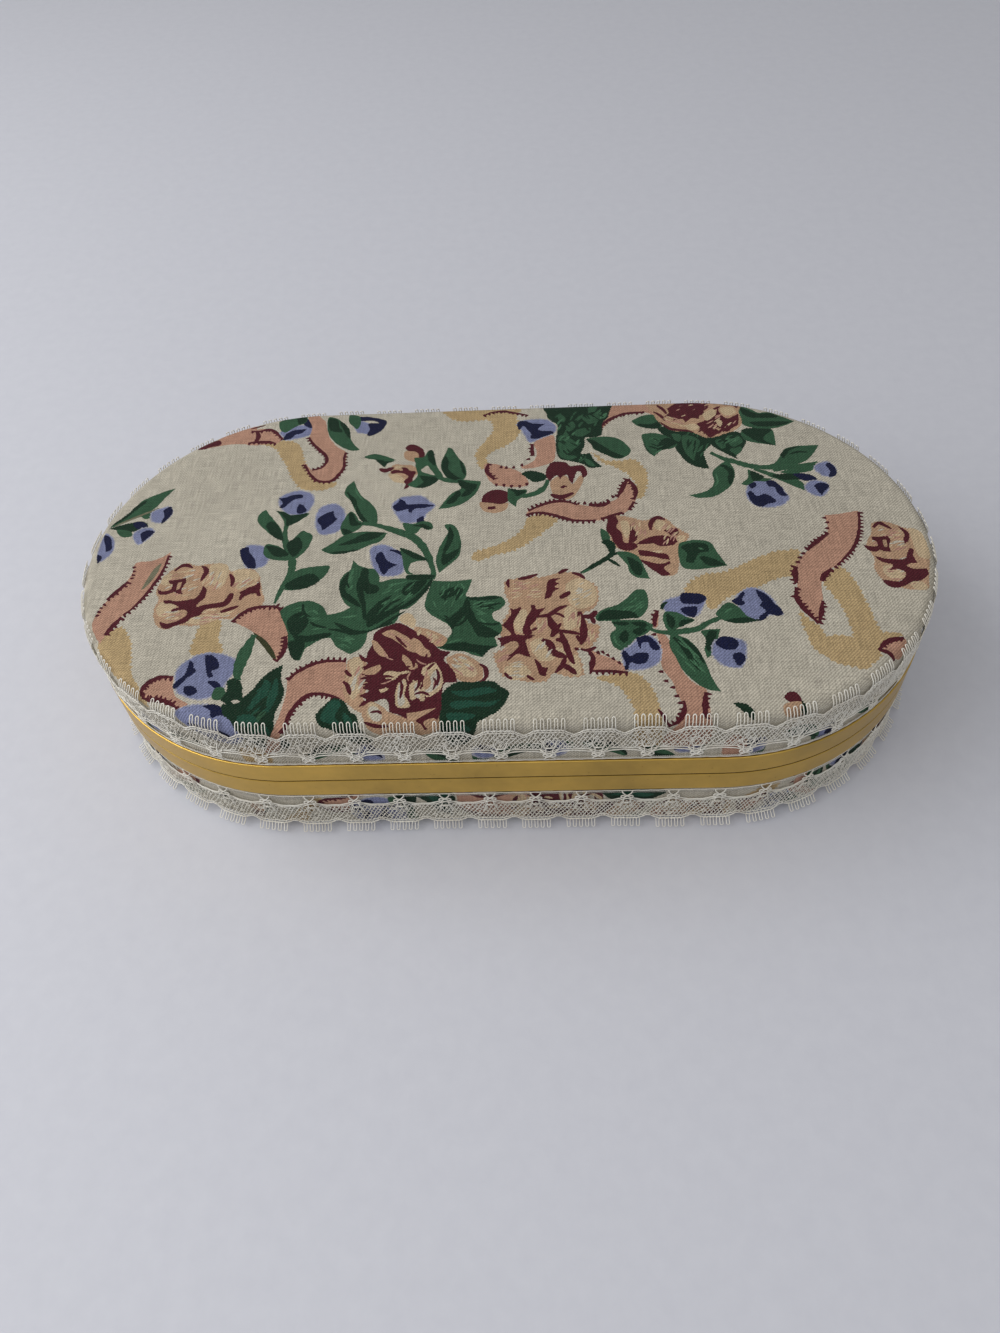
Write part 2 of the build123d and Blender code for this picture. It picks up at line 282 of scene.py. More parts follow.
def brass_material(name, tone, roughness, streak, seam=False):
    """Gold-tone metal, brushed along the rim, with faint smudges and darker pits."""
    n = Nodes(name)
    where = n.add("TexCoord").outputs["Object"]
    brushed = n.noise(n.stretched(where, (60.0, 60.0, 9000.0)), 1.0, 3.0, 0.6)
    smudge = n.noise(where, 55.0, 4.0, 0.6)
    pits = n.noise(where, 900.0, 2.0, 0.4)
    dark = tuple(c * 0.84 for c in tone)
    colour = n.mix(n.spread(smudge, 0.3, 0.7), rgba(dark), rgba(tone))
    colour = n.mix(n.spread(pits, 0.72, 0.80, 0.0, 0.35), colour, rgba((0.42, 0.30, 0.13)))
    rough = n.spread(n.math("ADD", brushed, smudge), 0.7, 1.3, roughness - 0.07, roughness + 0.09)
    # Painted shade: with seam, a thin band along the outer edge, at the line where the rims meet, is painted
    # dark brown and made rough. It stands for the shade in the gap between the rims.
    if seam:
        parts = n.add("SeparateXYZ", {0: where}).outputs
        away = n.math("ABSOLUTE", n.math("SUBTRACT", parts[2], SEAM * MM))
        past_end = n.math("MAXIMUM", n.math("SUBTRACT", n.math("ABSOLUTE", parts[0]), SPINE * MM), 0.0)
        squares = n.math(
            "ADD", n.math("MULTIPLY", past_end, past_end), n.math("MULTIPLY", parts[1], parts[1])
        )
        outside = n.spread(n.math("SQRT", squares), (RIM_REACH - 0.6) * MM, (RIM_REACH - 0.3) * MM)
        seam_shadow = n.math("MULTIPLY", outside, n.spread(away, SEAM_SHADE * 0.6 * MM, SEAM_SHADE * MM, 0.9, 0.0))
        colour = n.mix(seam_shadow, colour, rgba((0.20, 0.15, 0.08)))
        rough = n.math("MAXIMUM", rough, n.math("MULTIPLY", seam_shadow, 0.8))
    n.set(
        Base_Color=colour,
        Metallic=1.0,
        Roughness=rough,
        Normal=n.bump(brushed, streak, 0.00003),
    )
    return n.material


def steel_material():
    n = Nodes("spring_steel")
    where = n.add("TexCoord").outputs["Object"]
    grain = n.noise(n.stretched(where, (9000.0, 300.0, 300.0)), 1.0, 3.0, 0.6)
    n.set(
        Base_Color=n.mix(grain, rgba((0.60, 0.60, 0.60)), rgba((0.76, 0.76, 0.75))),
        Metallic=1.0,
        Roughness=n.spread(grain, 0.3, 0.7, 0.28, 0.42),
        Normal=n.bump(grain, 0.2, 0.00003),
    )
    return n.material


def satin_material():
    """Ivory satin, with a fine sideways sheen and soft shade in its folds."""
    n = Nodes("ivory_satin")
    where = n.add("TexCoord").outputs["Object"]
    floats = n.noise(n.stretched(where, (2600.0, 2600.0, 700.0)), 1.0, 3.0, 0.65)
    mottle = n.noise(where, 25.0, 2.0, 0.5)
    pale = n.mix(n.spread(mottle, 0.3, 0.7), rgba((0.85, 0.815, 0.725)), rgba((0.87, 0.84, 0.75)))
    n.set(
        Base_Color=n.mix(n.spread(floats, 0.35, 0.65, 0.0, 0.15), pale, rgba((0.70, 0.65, 0.54))),
        Roughness=n.spread(floats, 0.3, 0.7, 0.36, 0.5),
        Sheen_Weight=0.35,
        Sheen_Roughness=0.35,
        Normal=n.bump(floats, 0.15, 0.00005),
    )
    return n.material


def board_material():
    n = Nodes("pressed_board")
    where = n.add("TexCoord").outputs["Object"]
    fibres = n.noise(n.stretched(where, (900.0, 900.0, 2500.0)), 1.0, 5.0, 0.65)
    n.set(
        Base_Color=n.mix(n.spread(fibres, 0.3, 0.7), rgba((0.52, 0.46, 0.37)), rgba((0.68, 0.62, 0.51))),
        Roughness=0.9,
        Normal=n.bump(fibres, 0.4, 0.0002),
    )
    return n.material


MATERIALS = {
    "print": cotton_material("printed_cotton"),
    "plain": cotton_material("plain_cotton", INKS["ground"]),
    "lace": thread_material(),
    "rim": brass_material("rim_brass", (0.84, 0.69, 0.345), 0.36, 0.25, seam=True),
    "hinge": brass_material("hinge_brass", (0.80, 0.64, 0.34), 0.30, 0.2),
    "rivet": brass_material("rivet_brass", (0.86, 0.71, 0.40), 0.22, 0.05),
    "steel": steel_material(),
    "satin": satin_material(),
    "board": board_material(),
}

NODE_FINISH = {
    "rim": ("base_rim", "lid_rim", "base_guide_lip"),
    "hinge": (
        "hinge_left_base_leaf", "hinge_right_base_leaf", "hinge_left_lid_leaf", "hinge_right_lid_leaf",
        "hinge_left_pin", "hinge_right_pin",
    ),
    "rivet": ("base_hinge_rivets", "lid_hinge_rivets", "catch_rivets"),
    "steel": ("catch_foot", "catch_tongue"),
    "board": ("base_shell", "lid_shell", "base_lining_board", "lid_lining_board"),
}


def finish_nodes():
    for finish, nodes in NODE_FINISH.items():
        for node in nodes:
            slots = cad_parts[node].data.materials
            slots.clear()
            slots.append(MATERIALS[finish])


# Round the stadium
def loop(reach, step):
    """Points all round the stadium at one reach, about step apart, counterclockwise."""
    straight = max(2, round(2 * SPINE / step))
    around = max(8, round(math.pi * reach / step))
    points = []
    for side in (1, -1):
        for i in range(straight):
            points.append((side * (2 * SPINE * i / straight - SPINE), -side * reach))
        for i in range(around):
            angle = math.pi * (i / around - 0.5)
            points.append((side * (SPINE + reach * math.cos(angle)), side * reach * math.sin(angle)))
    return points


class Pan:
    """Maps the flat cloth onto one half of the case. way is 1 for the lid and -1 for the base."""

    def __init__(self, way, reach, crest, edge_round, crown, wall):
        self.way = way
        self.reach = reach
        self.crest = crest
        self.edge_round = edge_round
        self.crown = crown
        self.wall = wall
        self.flat = reach - edge_round
        self.turned = self.flat + edge_round * math.pi / 2
        self.end = self.turned + wall
        self.ball = (self.flat**2 + crown**2) / (2 * crown) if crown else None

    def profile(self, rho):
        """Reach, height and the normal's two parts at a distance out along the cloth."""
        if rho <= self.flat:
            if not self.ball:
                return rho, self.crest, 0.0, self.way
            rise = self.crown - self.ball + math.sqrt(self.ball**2 - rho**2)
            lean = rho / self.ball
            return rho, self.crest + self.way * rise, lean, self.way * math.sqrt(1 - lean**2)
        if rho <= self.turned:
            angle = (rho - self.flat) / self.edge_round
            reach = self.flat + self.edge_round * math.sin(angle)
            drop = self.edge_round * (1 - math.cos(angle))
            return reach, self.crest - self.way * drop, math.sin(angle), self.way * math.cos(angle)
        fall = self.edge_round + rho - self.turned
        return self.reach, self.crest - self.way * fall, 1.0, 0.0

    def place(self, u, v, puff=0.0):
        """Point and normal in the frame, in millimetres, of a point of the flat cloth."""
        centre = min(max(u, -SPINE), SPINE)
        rho = math.hypot(u - centre, v)
        out_x, out_y = ((u - centre) / rho, v / rho) if rho > 1e-9 else (0.0, 1.0)
        reach, height, normal_out, normal_up = self.profile(rho)
        normal = Vector((out_x * normal_out, out_y * normal_out, normal_up))
        point = Vector((centre + out_x * reach, out_y * reach, height))
        if puff:
            swell = noise.noise(Vector((u / 23, v / 23, 5.0))) + 0.5 * noise.noise(
                Vector((u / 9, v / 9, 1.0))
            )
            fade = min(1.0, max(0.0, (self.flat + 1.0 - rho) / 6.0))
            point += normal * (puff * swell * fade)
        return point, normal


LID_PAN = Pan(1, COVER_REACH, LID_FLAT, LID_EDGE_ROUND, LID_CROWN, LID_WALL + TUCKED)
BASE_PAN = Pan(-1, COVER_REACH, BASE_LOW, BASE_EDGE_ROUND, 0.0, BASE_WALL + TUCKED)


# The print's brushes. Places are millimetres on the flat cloth of the lid.
def curve_through(points, sharp, closed, step):
    """A smooth line through the points, evenly cut, with corners only where they are sharp."""
    count = len(points)
    spans = count if closed else count - 1
    line = []
    for i in range(spans):
        a, b = points[i], points[(i + 1) % count]
        before = points[(i - 1) % count] if closed or i > 0 else a
        after = points[(i + 2) % count] if closed or i + 2 < count else b
        start_pull = Vector((0, 0)) if i in sharp else (b - before) * 0.5
        end_pull = Vector((0, 0)) if (i + 1) % count in sharp else (after - a) * 0.5
        if i in sharp:
            start_pull = (b - a) * 0.5
        if (i + 1) % count in sharp:
            end_pull = (b - a) * 0.5
        cuts = max(1, round((b - a).length / step))
        for k in range(cuts):
            t = k / cuts
            line.append(
                a * (2 * t**3 - 3 * t**2 + 1)
                + start_pull * (t**3 - 2 * t**2 + t)
                + b * (3 * t**2 - 2 * t**3)
                + end_pull * (t**3 - t**2)
            )
    if not closed:
        line.append(points[-1].copy())
    return line


def sideways(line, i):
    """The unit vector to the left of an open line at its point i."""
    ahead = line[min(i + 1, len(line) - 1)] - line[max(i - 1, 0)]
    return Vector((-ahead.y, ahead.x)).normalized()


def laid(p):
    """Takes a place on the flattened views to the flat cloth.

    The views were made with an early camera fit. These numbers lead from it to the final fit, and
    were found by least squares between the two. They say nothing about the cloth.
    """
    return Vector((0.9916 * p.x + 0.1, 0.9976 * p.y - 2.06 + 0.000465 * p.y**2 + 0.000084 * p.x**2))


def under(outline, spots):
    """Which spots an outline covers, counting its windings, so that it may cross itself."""
    a = np.array([tuple(p) for p in outline])
    b = np.roll(a, -1, axis=0)
    near = np.flatnonzero(np.all((spots > a.min(0)) & (spots < a.max(0)), axis=1))
    x = spots[near, 0:1]
    y = spots[near, 1:2]
    side = (b[:, 0] - a[:, 0]) * (y - a[:, 1]) - (x - a[:, 0]) * (b[:, 1] - a[:, 1])
    rises = (a[:, 1] <= y) & (b[:, 1] > y) & (side > 0)
    falls = (a[:, 1] > y) & (b[:, 1] <= y) & (side < 0)
    return near[rises.sum(1) != falls.sum(1)]


UNIT = 1 / 17  # millimetres in one pixel of the flattened views that the print was drawn on
UNEVEN = 0.12  # how far the ink strays on the threads, in millimetres
LINE_WEIGHT = 1.55  # of a ribbon's edge line, against its drawn width
FRAY = {
    "petal_light": 2.5, "burgundy": 2, "navy": 2.5, "teal": 4, "green_dark": 3.5, "peach": 1.5, "green": 1.5,
}
BOLD = {"green": 1.4, "burgundy": 1.15}


class Print:
    """Printed shapes, each an ink and an outline. A later shape covers an earlier one.

    Outlines were typed in pixels of flattened views of the photo: x to the right and y
    downwards, from the corner that panel() gives in millimetres. The lowest edge of a motif may
    run past its panel.
    """

    def __init__(self, seed):
        self.shapes = []
        self.random = random.Random(seed)
        self.offset = Vector((0.0, 0.0))
        self.panel(0, 0)

    def panel(self, x, y):
        self.corner = Vector((x, y))

    def read(self, text):
        """Turns "x,y x,y* ..." into places in millimetres and the set of those that are sharp corners."""
        points = []
        sharp = set()
        for i, pair in enumerate(text.split()):
            if pair.endswith("*"):
                sharp.add(i)
            x, y = pair.rstrip("*").split(",")
            points.append(self.corner + Vector((float(x), -float(y))) * UNIT)
        return points, sharp

    def add(self, ink, outline):
        """Keeps an outline, with the slight unevenness of ink on threads."""
        uneven = []
        for p in outline:
            drift = noise.noise_vector(Vector((p.x * 0.9, p.y * 0.9, 3.0)))
            uneven.append(laid(p + Vector((drift.x, drift.y)) * UNEVEN + self.offset))
        self.shapes.append((ink, uneven))

    def patch(self, ink, text, rough=0.0, step=0.7):
        """A filled outline. rough, in pixels, frays its edge, as a dry brush does."""
        points, sharp = self.read(text)
        rough = rough or FRAY.get(ink, 0)
        line = curve_through(points, sharp, True, 0.35 if 0 < rough < 6 else step)
        if rough:
            reach = rough * UNIT
            count = len(line)
            frayed = []
            for i, p in enumerate(line):
                ahead = line[(i + 1) % count] - line[i - 1]
                side = Vector((ahead.y, -ahead.x)).normalized()
                frayed.append(p + side * reach * ((i % 2) * 1.1 - 0.55 + self.random.uniform(-0.5, 0.5)))
            line = frayed
        self.add(ink, line)

    def wash(self, ink, text):
        """A soft-edged patch: a paler rim that frays into the cloth, then the ink itself."""
        points, sharp = self.read(text)
        middle = sum(points, Vector((0, 0))) / len(points)
        line = curve_through(points, sharp, True, 0.5)
        rim = []
        for i, p in enumerate(line):
            out = (p - middle).normalized()
            rim.append(p + out * ((i % 2) * 0.26 + self.random.uniform(-0.12, 0.16)))
        self.add(ink + "_light", rim)
        self.add(ink, [p - (p - middle).normalized() * self.random.uniform(0.1, 0.34) for p in line])

    def stroke(self, ink, text, width, start=0.35, end=0.15, step=0.6):
        """A brush stroke, width pixels wide in its middle. start and end are its ends' shares of that."""
        points, sharp = self.read(text)
        self.brush(
            ink, curve_through(points, sharp, False, step), width * BOLD.get(ink, 1) * UNIT, start, end
        )

    def brush(self, ink, line, width, start=0.35, end=0.15):
        left = []
        right = []
        last = len(line) - 1
        for i, p in enumerate(line):
            t = i / last
            full = math.sin(math.pi * min(1.0, max(0.0, t)))
            share = max(full**0.5, start * (1 - t) ** 2, end * t**2)
            wobble = 1 + self.random.uniform(-0.14, 0.14)
            side = sideways(line, i) * (width / 2 * share * wobble)
            left.append(p + side)
            right.append(p - side)
        self.add(ink, left + right[::-1])

    def hatch(self, inks, text, angle, count, long=44, wide=9):
        """Dry brush marks inside an outline, about one way, in each ink by turns. Sizes are in pixels."""
        points, _ = self.read(text)
        rim = np.array([tuple(q) for q in points])
        low, high = rim.min(0), rim.max(0)
        drawn = 0
        for _ in range(count * 12):
            spot = np.array([[self.random.uniform(low[0], high[0]), self.random.uniform(low[1], high[1])]])
            if drawn == count or not len(under(points, spot)):
                continue
            turn = math.radians(angle + self.random.uniform(-14, 14))
            reach = Vector((math.cos(turn), math.sin(turn))) * (
                long * UNIT / 2 * self.random.uniform(0.6, 1.2)
            )
            bow = Vector((-reach.y, reach.x)) * self.random.uniform(-0.16, 0.16)
            middle = Vector(spot[0])
            line = [middle - reach, middle - reach * 0.4 + bow, middle + reach * 0.4 + bow, middle + reach]
            if not len(under(points, np.array([tuple(line[0]), tuple(line[-1])]))) == 2:
                continue
            self.brush(inks[drawn % len(inks)], line, wide * UNIT * self.random.uniform(0.7, 1.2), 0.3, 0.3)
            drawn += 1

    def tooth(self, x, y, angle, size=1.0):
        """One loose tooth of a ribbon's edge, centred on its place and pointing along angle, in degrees."""
        middle = self.corner + Vector((x, -y)) * UNIT
        turn = Matrix.Rotation(math.radians(angle), 2)
        shape = ((-0.6, 0.44), (0.18, 0.36), (0.74, 0.03), (0.12, -0.38), (-0.6, -0.44))
        self.add("burgundy", [middle + turn @ (Vector(q) * size) for q in shape])

    def frill(self, text, side, width=11, tooth=15, pitch=1.3, line=True):
        """A dark edge line with teeth on one side: 1 is to the left of its run, -1 to the right."""
        points, sharp = self.read(text)
        run = curve_through(points, sharp, False, 0.3)
        if line:
            spine = run[::2] + ([] if len(run) % 2 else [run[-1]])
            self.brush("burgundy", spine, width * LINE_WEIGHT * UNIT, 0.8, 0.8)
        every = max(2, round(pitch / 0.3))
        for i in range(every // 2, len(run), every):
            out = sideways(run, i) * side
            ahead = Vector((out.y, -out.x))
            lean = ahead * self.random.uniform(-0.25, 0.35)
            reach = (tooth + width / 2) * UNIT * self.random.uniform(0.75, 1.15)
            thick = self.random.uniform(0.32, 0.46)
            root = run[i]
            self.add(
                "burgundy",
                [
                    root - ahead * thick,
                    root + ahead * thick,
                    root + out * reach * 0.7 + lean * 0.6 + ahead * thick * 0.75,
                    root + out * reach + lean,
                    root + out * reach * 0.7 + lean * 0.6 - ahead * thick * 0.75,
                ],
            )

    def leaf(self, text, width, dark=1):
        """A leaf along a short line, base first. dark is the side in shade: 1 is left of the line."""
        points, sharp = self.read(text)
        spine = curve_through(points, sharp, False, 0.9)
        last = len(spine) - 1

        def half(share):
            return width * UNIT / 2 * math.sin(math.pi * share**0.8) ** 0.75 if 0 < share < 1 else 0.0

        left = [spine[i] + sideways(spine, i) * half(i / last) for i in range(last + 1)]
        right = [spine[i] - sideways(spine, i) * half(i / last) for i in range(last + 1)]
        self.add("green", left + right[::-1][1:-1])
        shaded = left if dark > 0 else right
        self.add("green_dark", shaded + [p.lerp(q, 0.1) for p, q in zip(spine, shaded)][::-1][1:-1])

    def bell(self, x, y, size, angle):
        """A bellflower that opens towards angle, in degrees. size is its half width, in pixels."""
        turn = Matrix.Rotation(math.radians(angle - 90), 2)
        middle = self.corner + Vector((x, -y)) * UNIT

        def soft(points):
            return curve_through(
                [middle + turn @ (Vector(q) * size * UNIT) for q in points], set(), True, 0.7
            )

        sepals = [
            (-0.62, -0.75), (-0.2, -1.35), (0.25, -1.3), (0.7, -0.7),
            (0.5, -0.35), (0, -0.55), (-0.45, -0.3),
        ]
        self.add("green", soft(sepals))
        cup = [
            (-0.98, 0.35), (-0.86, -0.3), (-0.45, -0.8), (0, -0.9), (0.5, -0.76),
            (0.88, -0.28), (1.0, 0.38), (0.3, 0.74), (-0.36, 0.76),
        ]
        self.add("lilac_light", [p + (p - middle) * self.random.uniform(0.0, 0.12) for p in soft(cup)])
        self.add("lilac", soft([(0.86 * a, 0.86 * b) for a, b in cup]))
        throat = [
            (-0.9, 0.5), (-0.3, 0.1), (0.2, -0.15), (0.42, 0.2), (0.9, 0.36), (0.3, 0.6), (-0.5, 0.7)
        ]
        self.add("navy", soft(throat))


def left_front(p):
    """The open rose, the slanting ribbon and the large bellflowers at the front left."""
    p.panel(-105, 0)
    p.patch("tan", "190,440 215,412 250,398 285,440 310,490 325,560 345,640 374,690 410,745 405,800 340,745"
            " 280,662 215,582 165,500", 8)
    p.patch("tan", "575,405 612,390 640,370 664,400 662,470 692,540 640,556 590,562 560,545 563,480", 8)
    p.patch("peach", "225,40 290,32 335,12 365,-20* 364,5 352,100 330,172 300,245 270,300 240,336 212,392"
            " 188,444* 178,484* 140,432 118,382 125,320 150,250 180,200 210,150 222,90")
    p.patch("sage", "338,50 330,110 306,170 284,200 292,150 312,80")
    p.frill("212,60 221,95 220,130", 1, line=False)
    p.frill("216,148 182,198 148,248", 1, 13)
    p.frill("142,262 126,295 121,340", 1, line=False)
    p.frill("362,4 352,98 330,170 300,245 268,302 240,334", 1, 10)
    p.frill("236,346 210,390 188,440", 1, 15)
    p.patch("petal", "350,192 364,150 380,110 410,76 450,54 500,72 530,64 570,62 602,60 632,80 650,112"
            " 690,98 742,104 776,140 790,180 802,230 820,282 800,312 760,322 722,352 700,376 650,372"
            " 600,396 540,406 480,398 440,418 400,402 372,360 362,300 370,252 350,216", 5)
    for text in (
        "560,68 600,62 634,82 642,140 622,200 578,172 556,110",
        "664,112 710,100 760,120 776,150 742,172 702,216 682,180",
        "366,122 398,112 394,158 362,170",
        "384,272 440,268 452,328 402,352 374,320",
        "498,380 560,350 640,345 702,330 640,374 560,396",
    ):
        p.patch("petal_light", text)
    for text, angle, count in (
        ("370,120 500,80 540,110 520,240 400,240 365,180", 20, 24),
        ("560,80 640,90 640,200 570,240 540,180", 70, 16),
        ("660,110 780,120 800,260 700,240 650,180", 40, 20),
        ("380,280 520,310 500,380 400,370", 10, 14),
        ("500,330 700,310 690,370 560,390", 0, 18),
    ):
        p.hatch(("petal_light", "blush", "ground", "petal_light"), text, angle, count, 46, 9)
    p.stroke("burgundy", "406,97 430,70 456,67 482,84", 17, 0.6, 0.3)
    p.patch("burgundy", "514,70 540,78 556,105 548,136 530,168* 527,140 533,110 527,90")
    p.patch("burgundy", "390,148* 430,147 464,138* 468,165 456,200 467,230* 445,226 430,216 415,222 390,229"
            " 364,222 350,192* 372,208 400,206 412,195 412,172 396,166")
    p.patch("petal", "435,166 450,160 447,198 436,206")
    p.patch("burgundy", "390,260* 420,261 450,268 490,262 530,250 546,188* 562,204 568,250 545,280 540,302"
            " 575,292 620,285 650,275 666,232* 684,236 683,270 660,305 620,313 580,320 560,350 530,362"
            " 510,386 470,402 440,416 415,406 400,376* 425,386 450,386 480,370 505,350 505,326 480,316"
            " 438,328* 440,310 465,300 430,280 402,278")
    p.patch("burgundy", "706,230* 740,206 770,190 782,170* 791,200 792,230 802,256* 785,252 775,238 745,246"
            " 728,258 718,278* 710,264 713,242")
    p.stroke("burgundy", "646,336 680,322 716,306", 18, 0.7, 0.2)
    p.stroke("burgundy", "648,126 666,156 668,198", 16, 0.6, 0.3)
    p.patch("peach", "706,392* 730,354 770,324 820,310 870,314 896,336 908,372 930,430 946,490 938,535"
            " 934,560 915,600* 882,552 852,520 806,456 760,420")
    p.patch("olive", "798,448* 835,472 872,510 902,560 915,600* 888,574 853,525 815,478")
    p.frill("704,392 735,350 775,322 822,312 866,312", -1, 12)
    p.frill("866,312 896,332 908,374", 1, 12)
    p.frill("932,470 938,520 930,568 914,600", -1, 13)
    p.patch("peach", "514,660 460,660 424,688 398,742 420,768 470,768 520,786 560,826 604,802 548,762"
            " 526,720 520,690")
    p.frill("516,663 470,661 430,680 405,715 398,748", 1, 14)
    p.frill("398,750 430,766 470,770 512,784 542,800 560,824", 1, 14)
    p.wash("lilac", "520,650 530,610 560,580 600,555 650,548 710,560 755,590 766,622 750,662 735,690"
            " 720,732 690,760 650,776 610,772 574,756 545,740 530,700")
    for text in (
        "568,584* 583,595 590,620 603,635 590,655 570,670 560,690 535,722 522,710 535,680 560,650 563,618",
        "624,558* 655,562 685,595 689,625 665,640 676,666 655,669 640,630",
        "570,712 600,711 623,730 615,753 590,756 572,738",
        "658,689 690,690 714,712 706,727 680,716",
    ):
        p.patch("navy", text)
    p.patch("green", "690,728 722,720 742,760 716,782 688,772")
    p.wash("lilac", "548,830 580,810 640,798 700,808 762,850 792,900 800,980 740,1010 660,980 600,930"
            " 562,880")
    p.patch("navy", "656,806* 700,799 740,820 766,845 772,872 740,852 700,862 690,830")
    p.patch("navy", "588,880 632,884 622,906 596,901")
    p.patch("navy", "690,930 720,920 750,950 740,980 700,965")
    p.stroke("green", "806,462 790,520 780,560 770,625 772,690", 36, 0.6, 0.7)
    p.patch("green_dark", "735,690 760,678 790,700 802,740 800,784 760,802 738,792 722,782 740,740")
    p.patch("green_dark", "942,616* 900,644 865,685 835,740 800,775 760,800 732,802 745,850 778,880 796,930"
            " 840,1010 930,1060 985,1010 948,925 942,850 957,800 963,740 948,700 941,660")
    p.hatch(("green", "teal"), "930,640 940,760 900,900 830,960 800,850 860,740", 52, 20, 60, 7)
    for text in (
        "884,690 908,712 895,762 862,806 838,838 846,785 868,738",
        "924,680 940,735 930,800 908,845 902,785 912,730",
        "800,860 850,850 880,880 850,905 808,896",
        "840,930 900,900 925,930 890,980 850,975",
    ):
        p.patch("teal", text)
    p.patch("ground", "764,788 790,781 800,790 776,801")


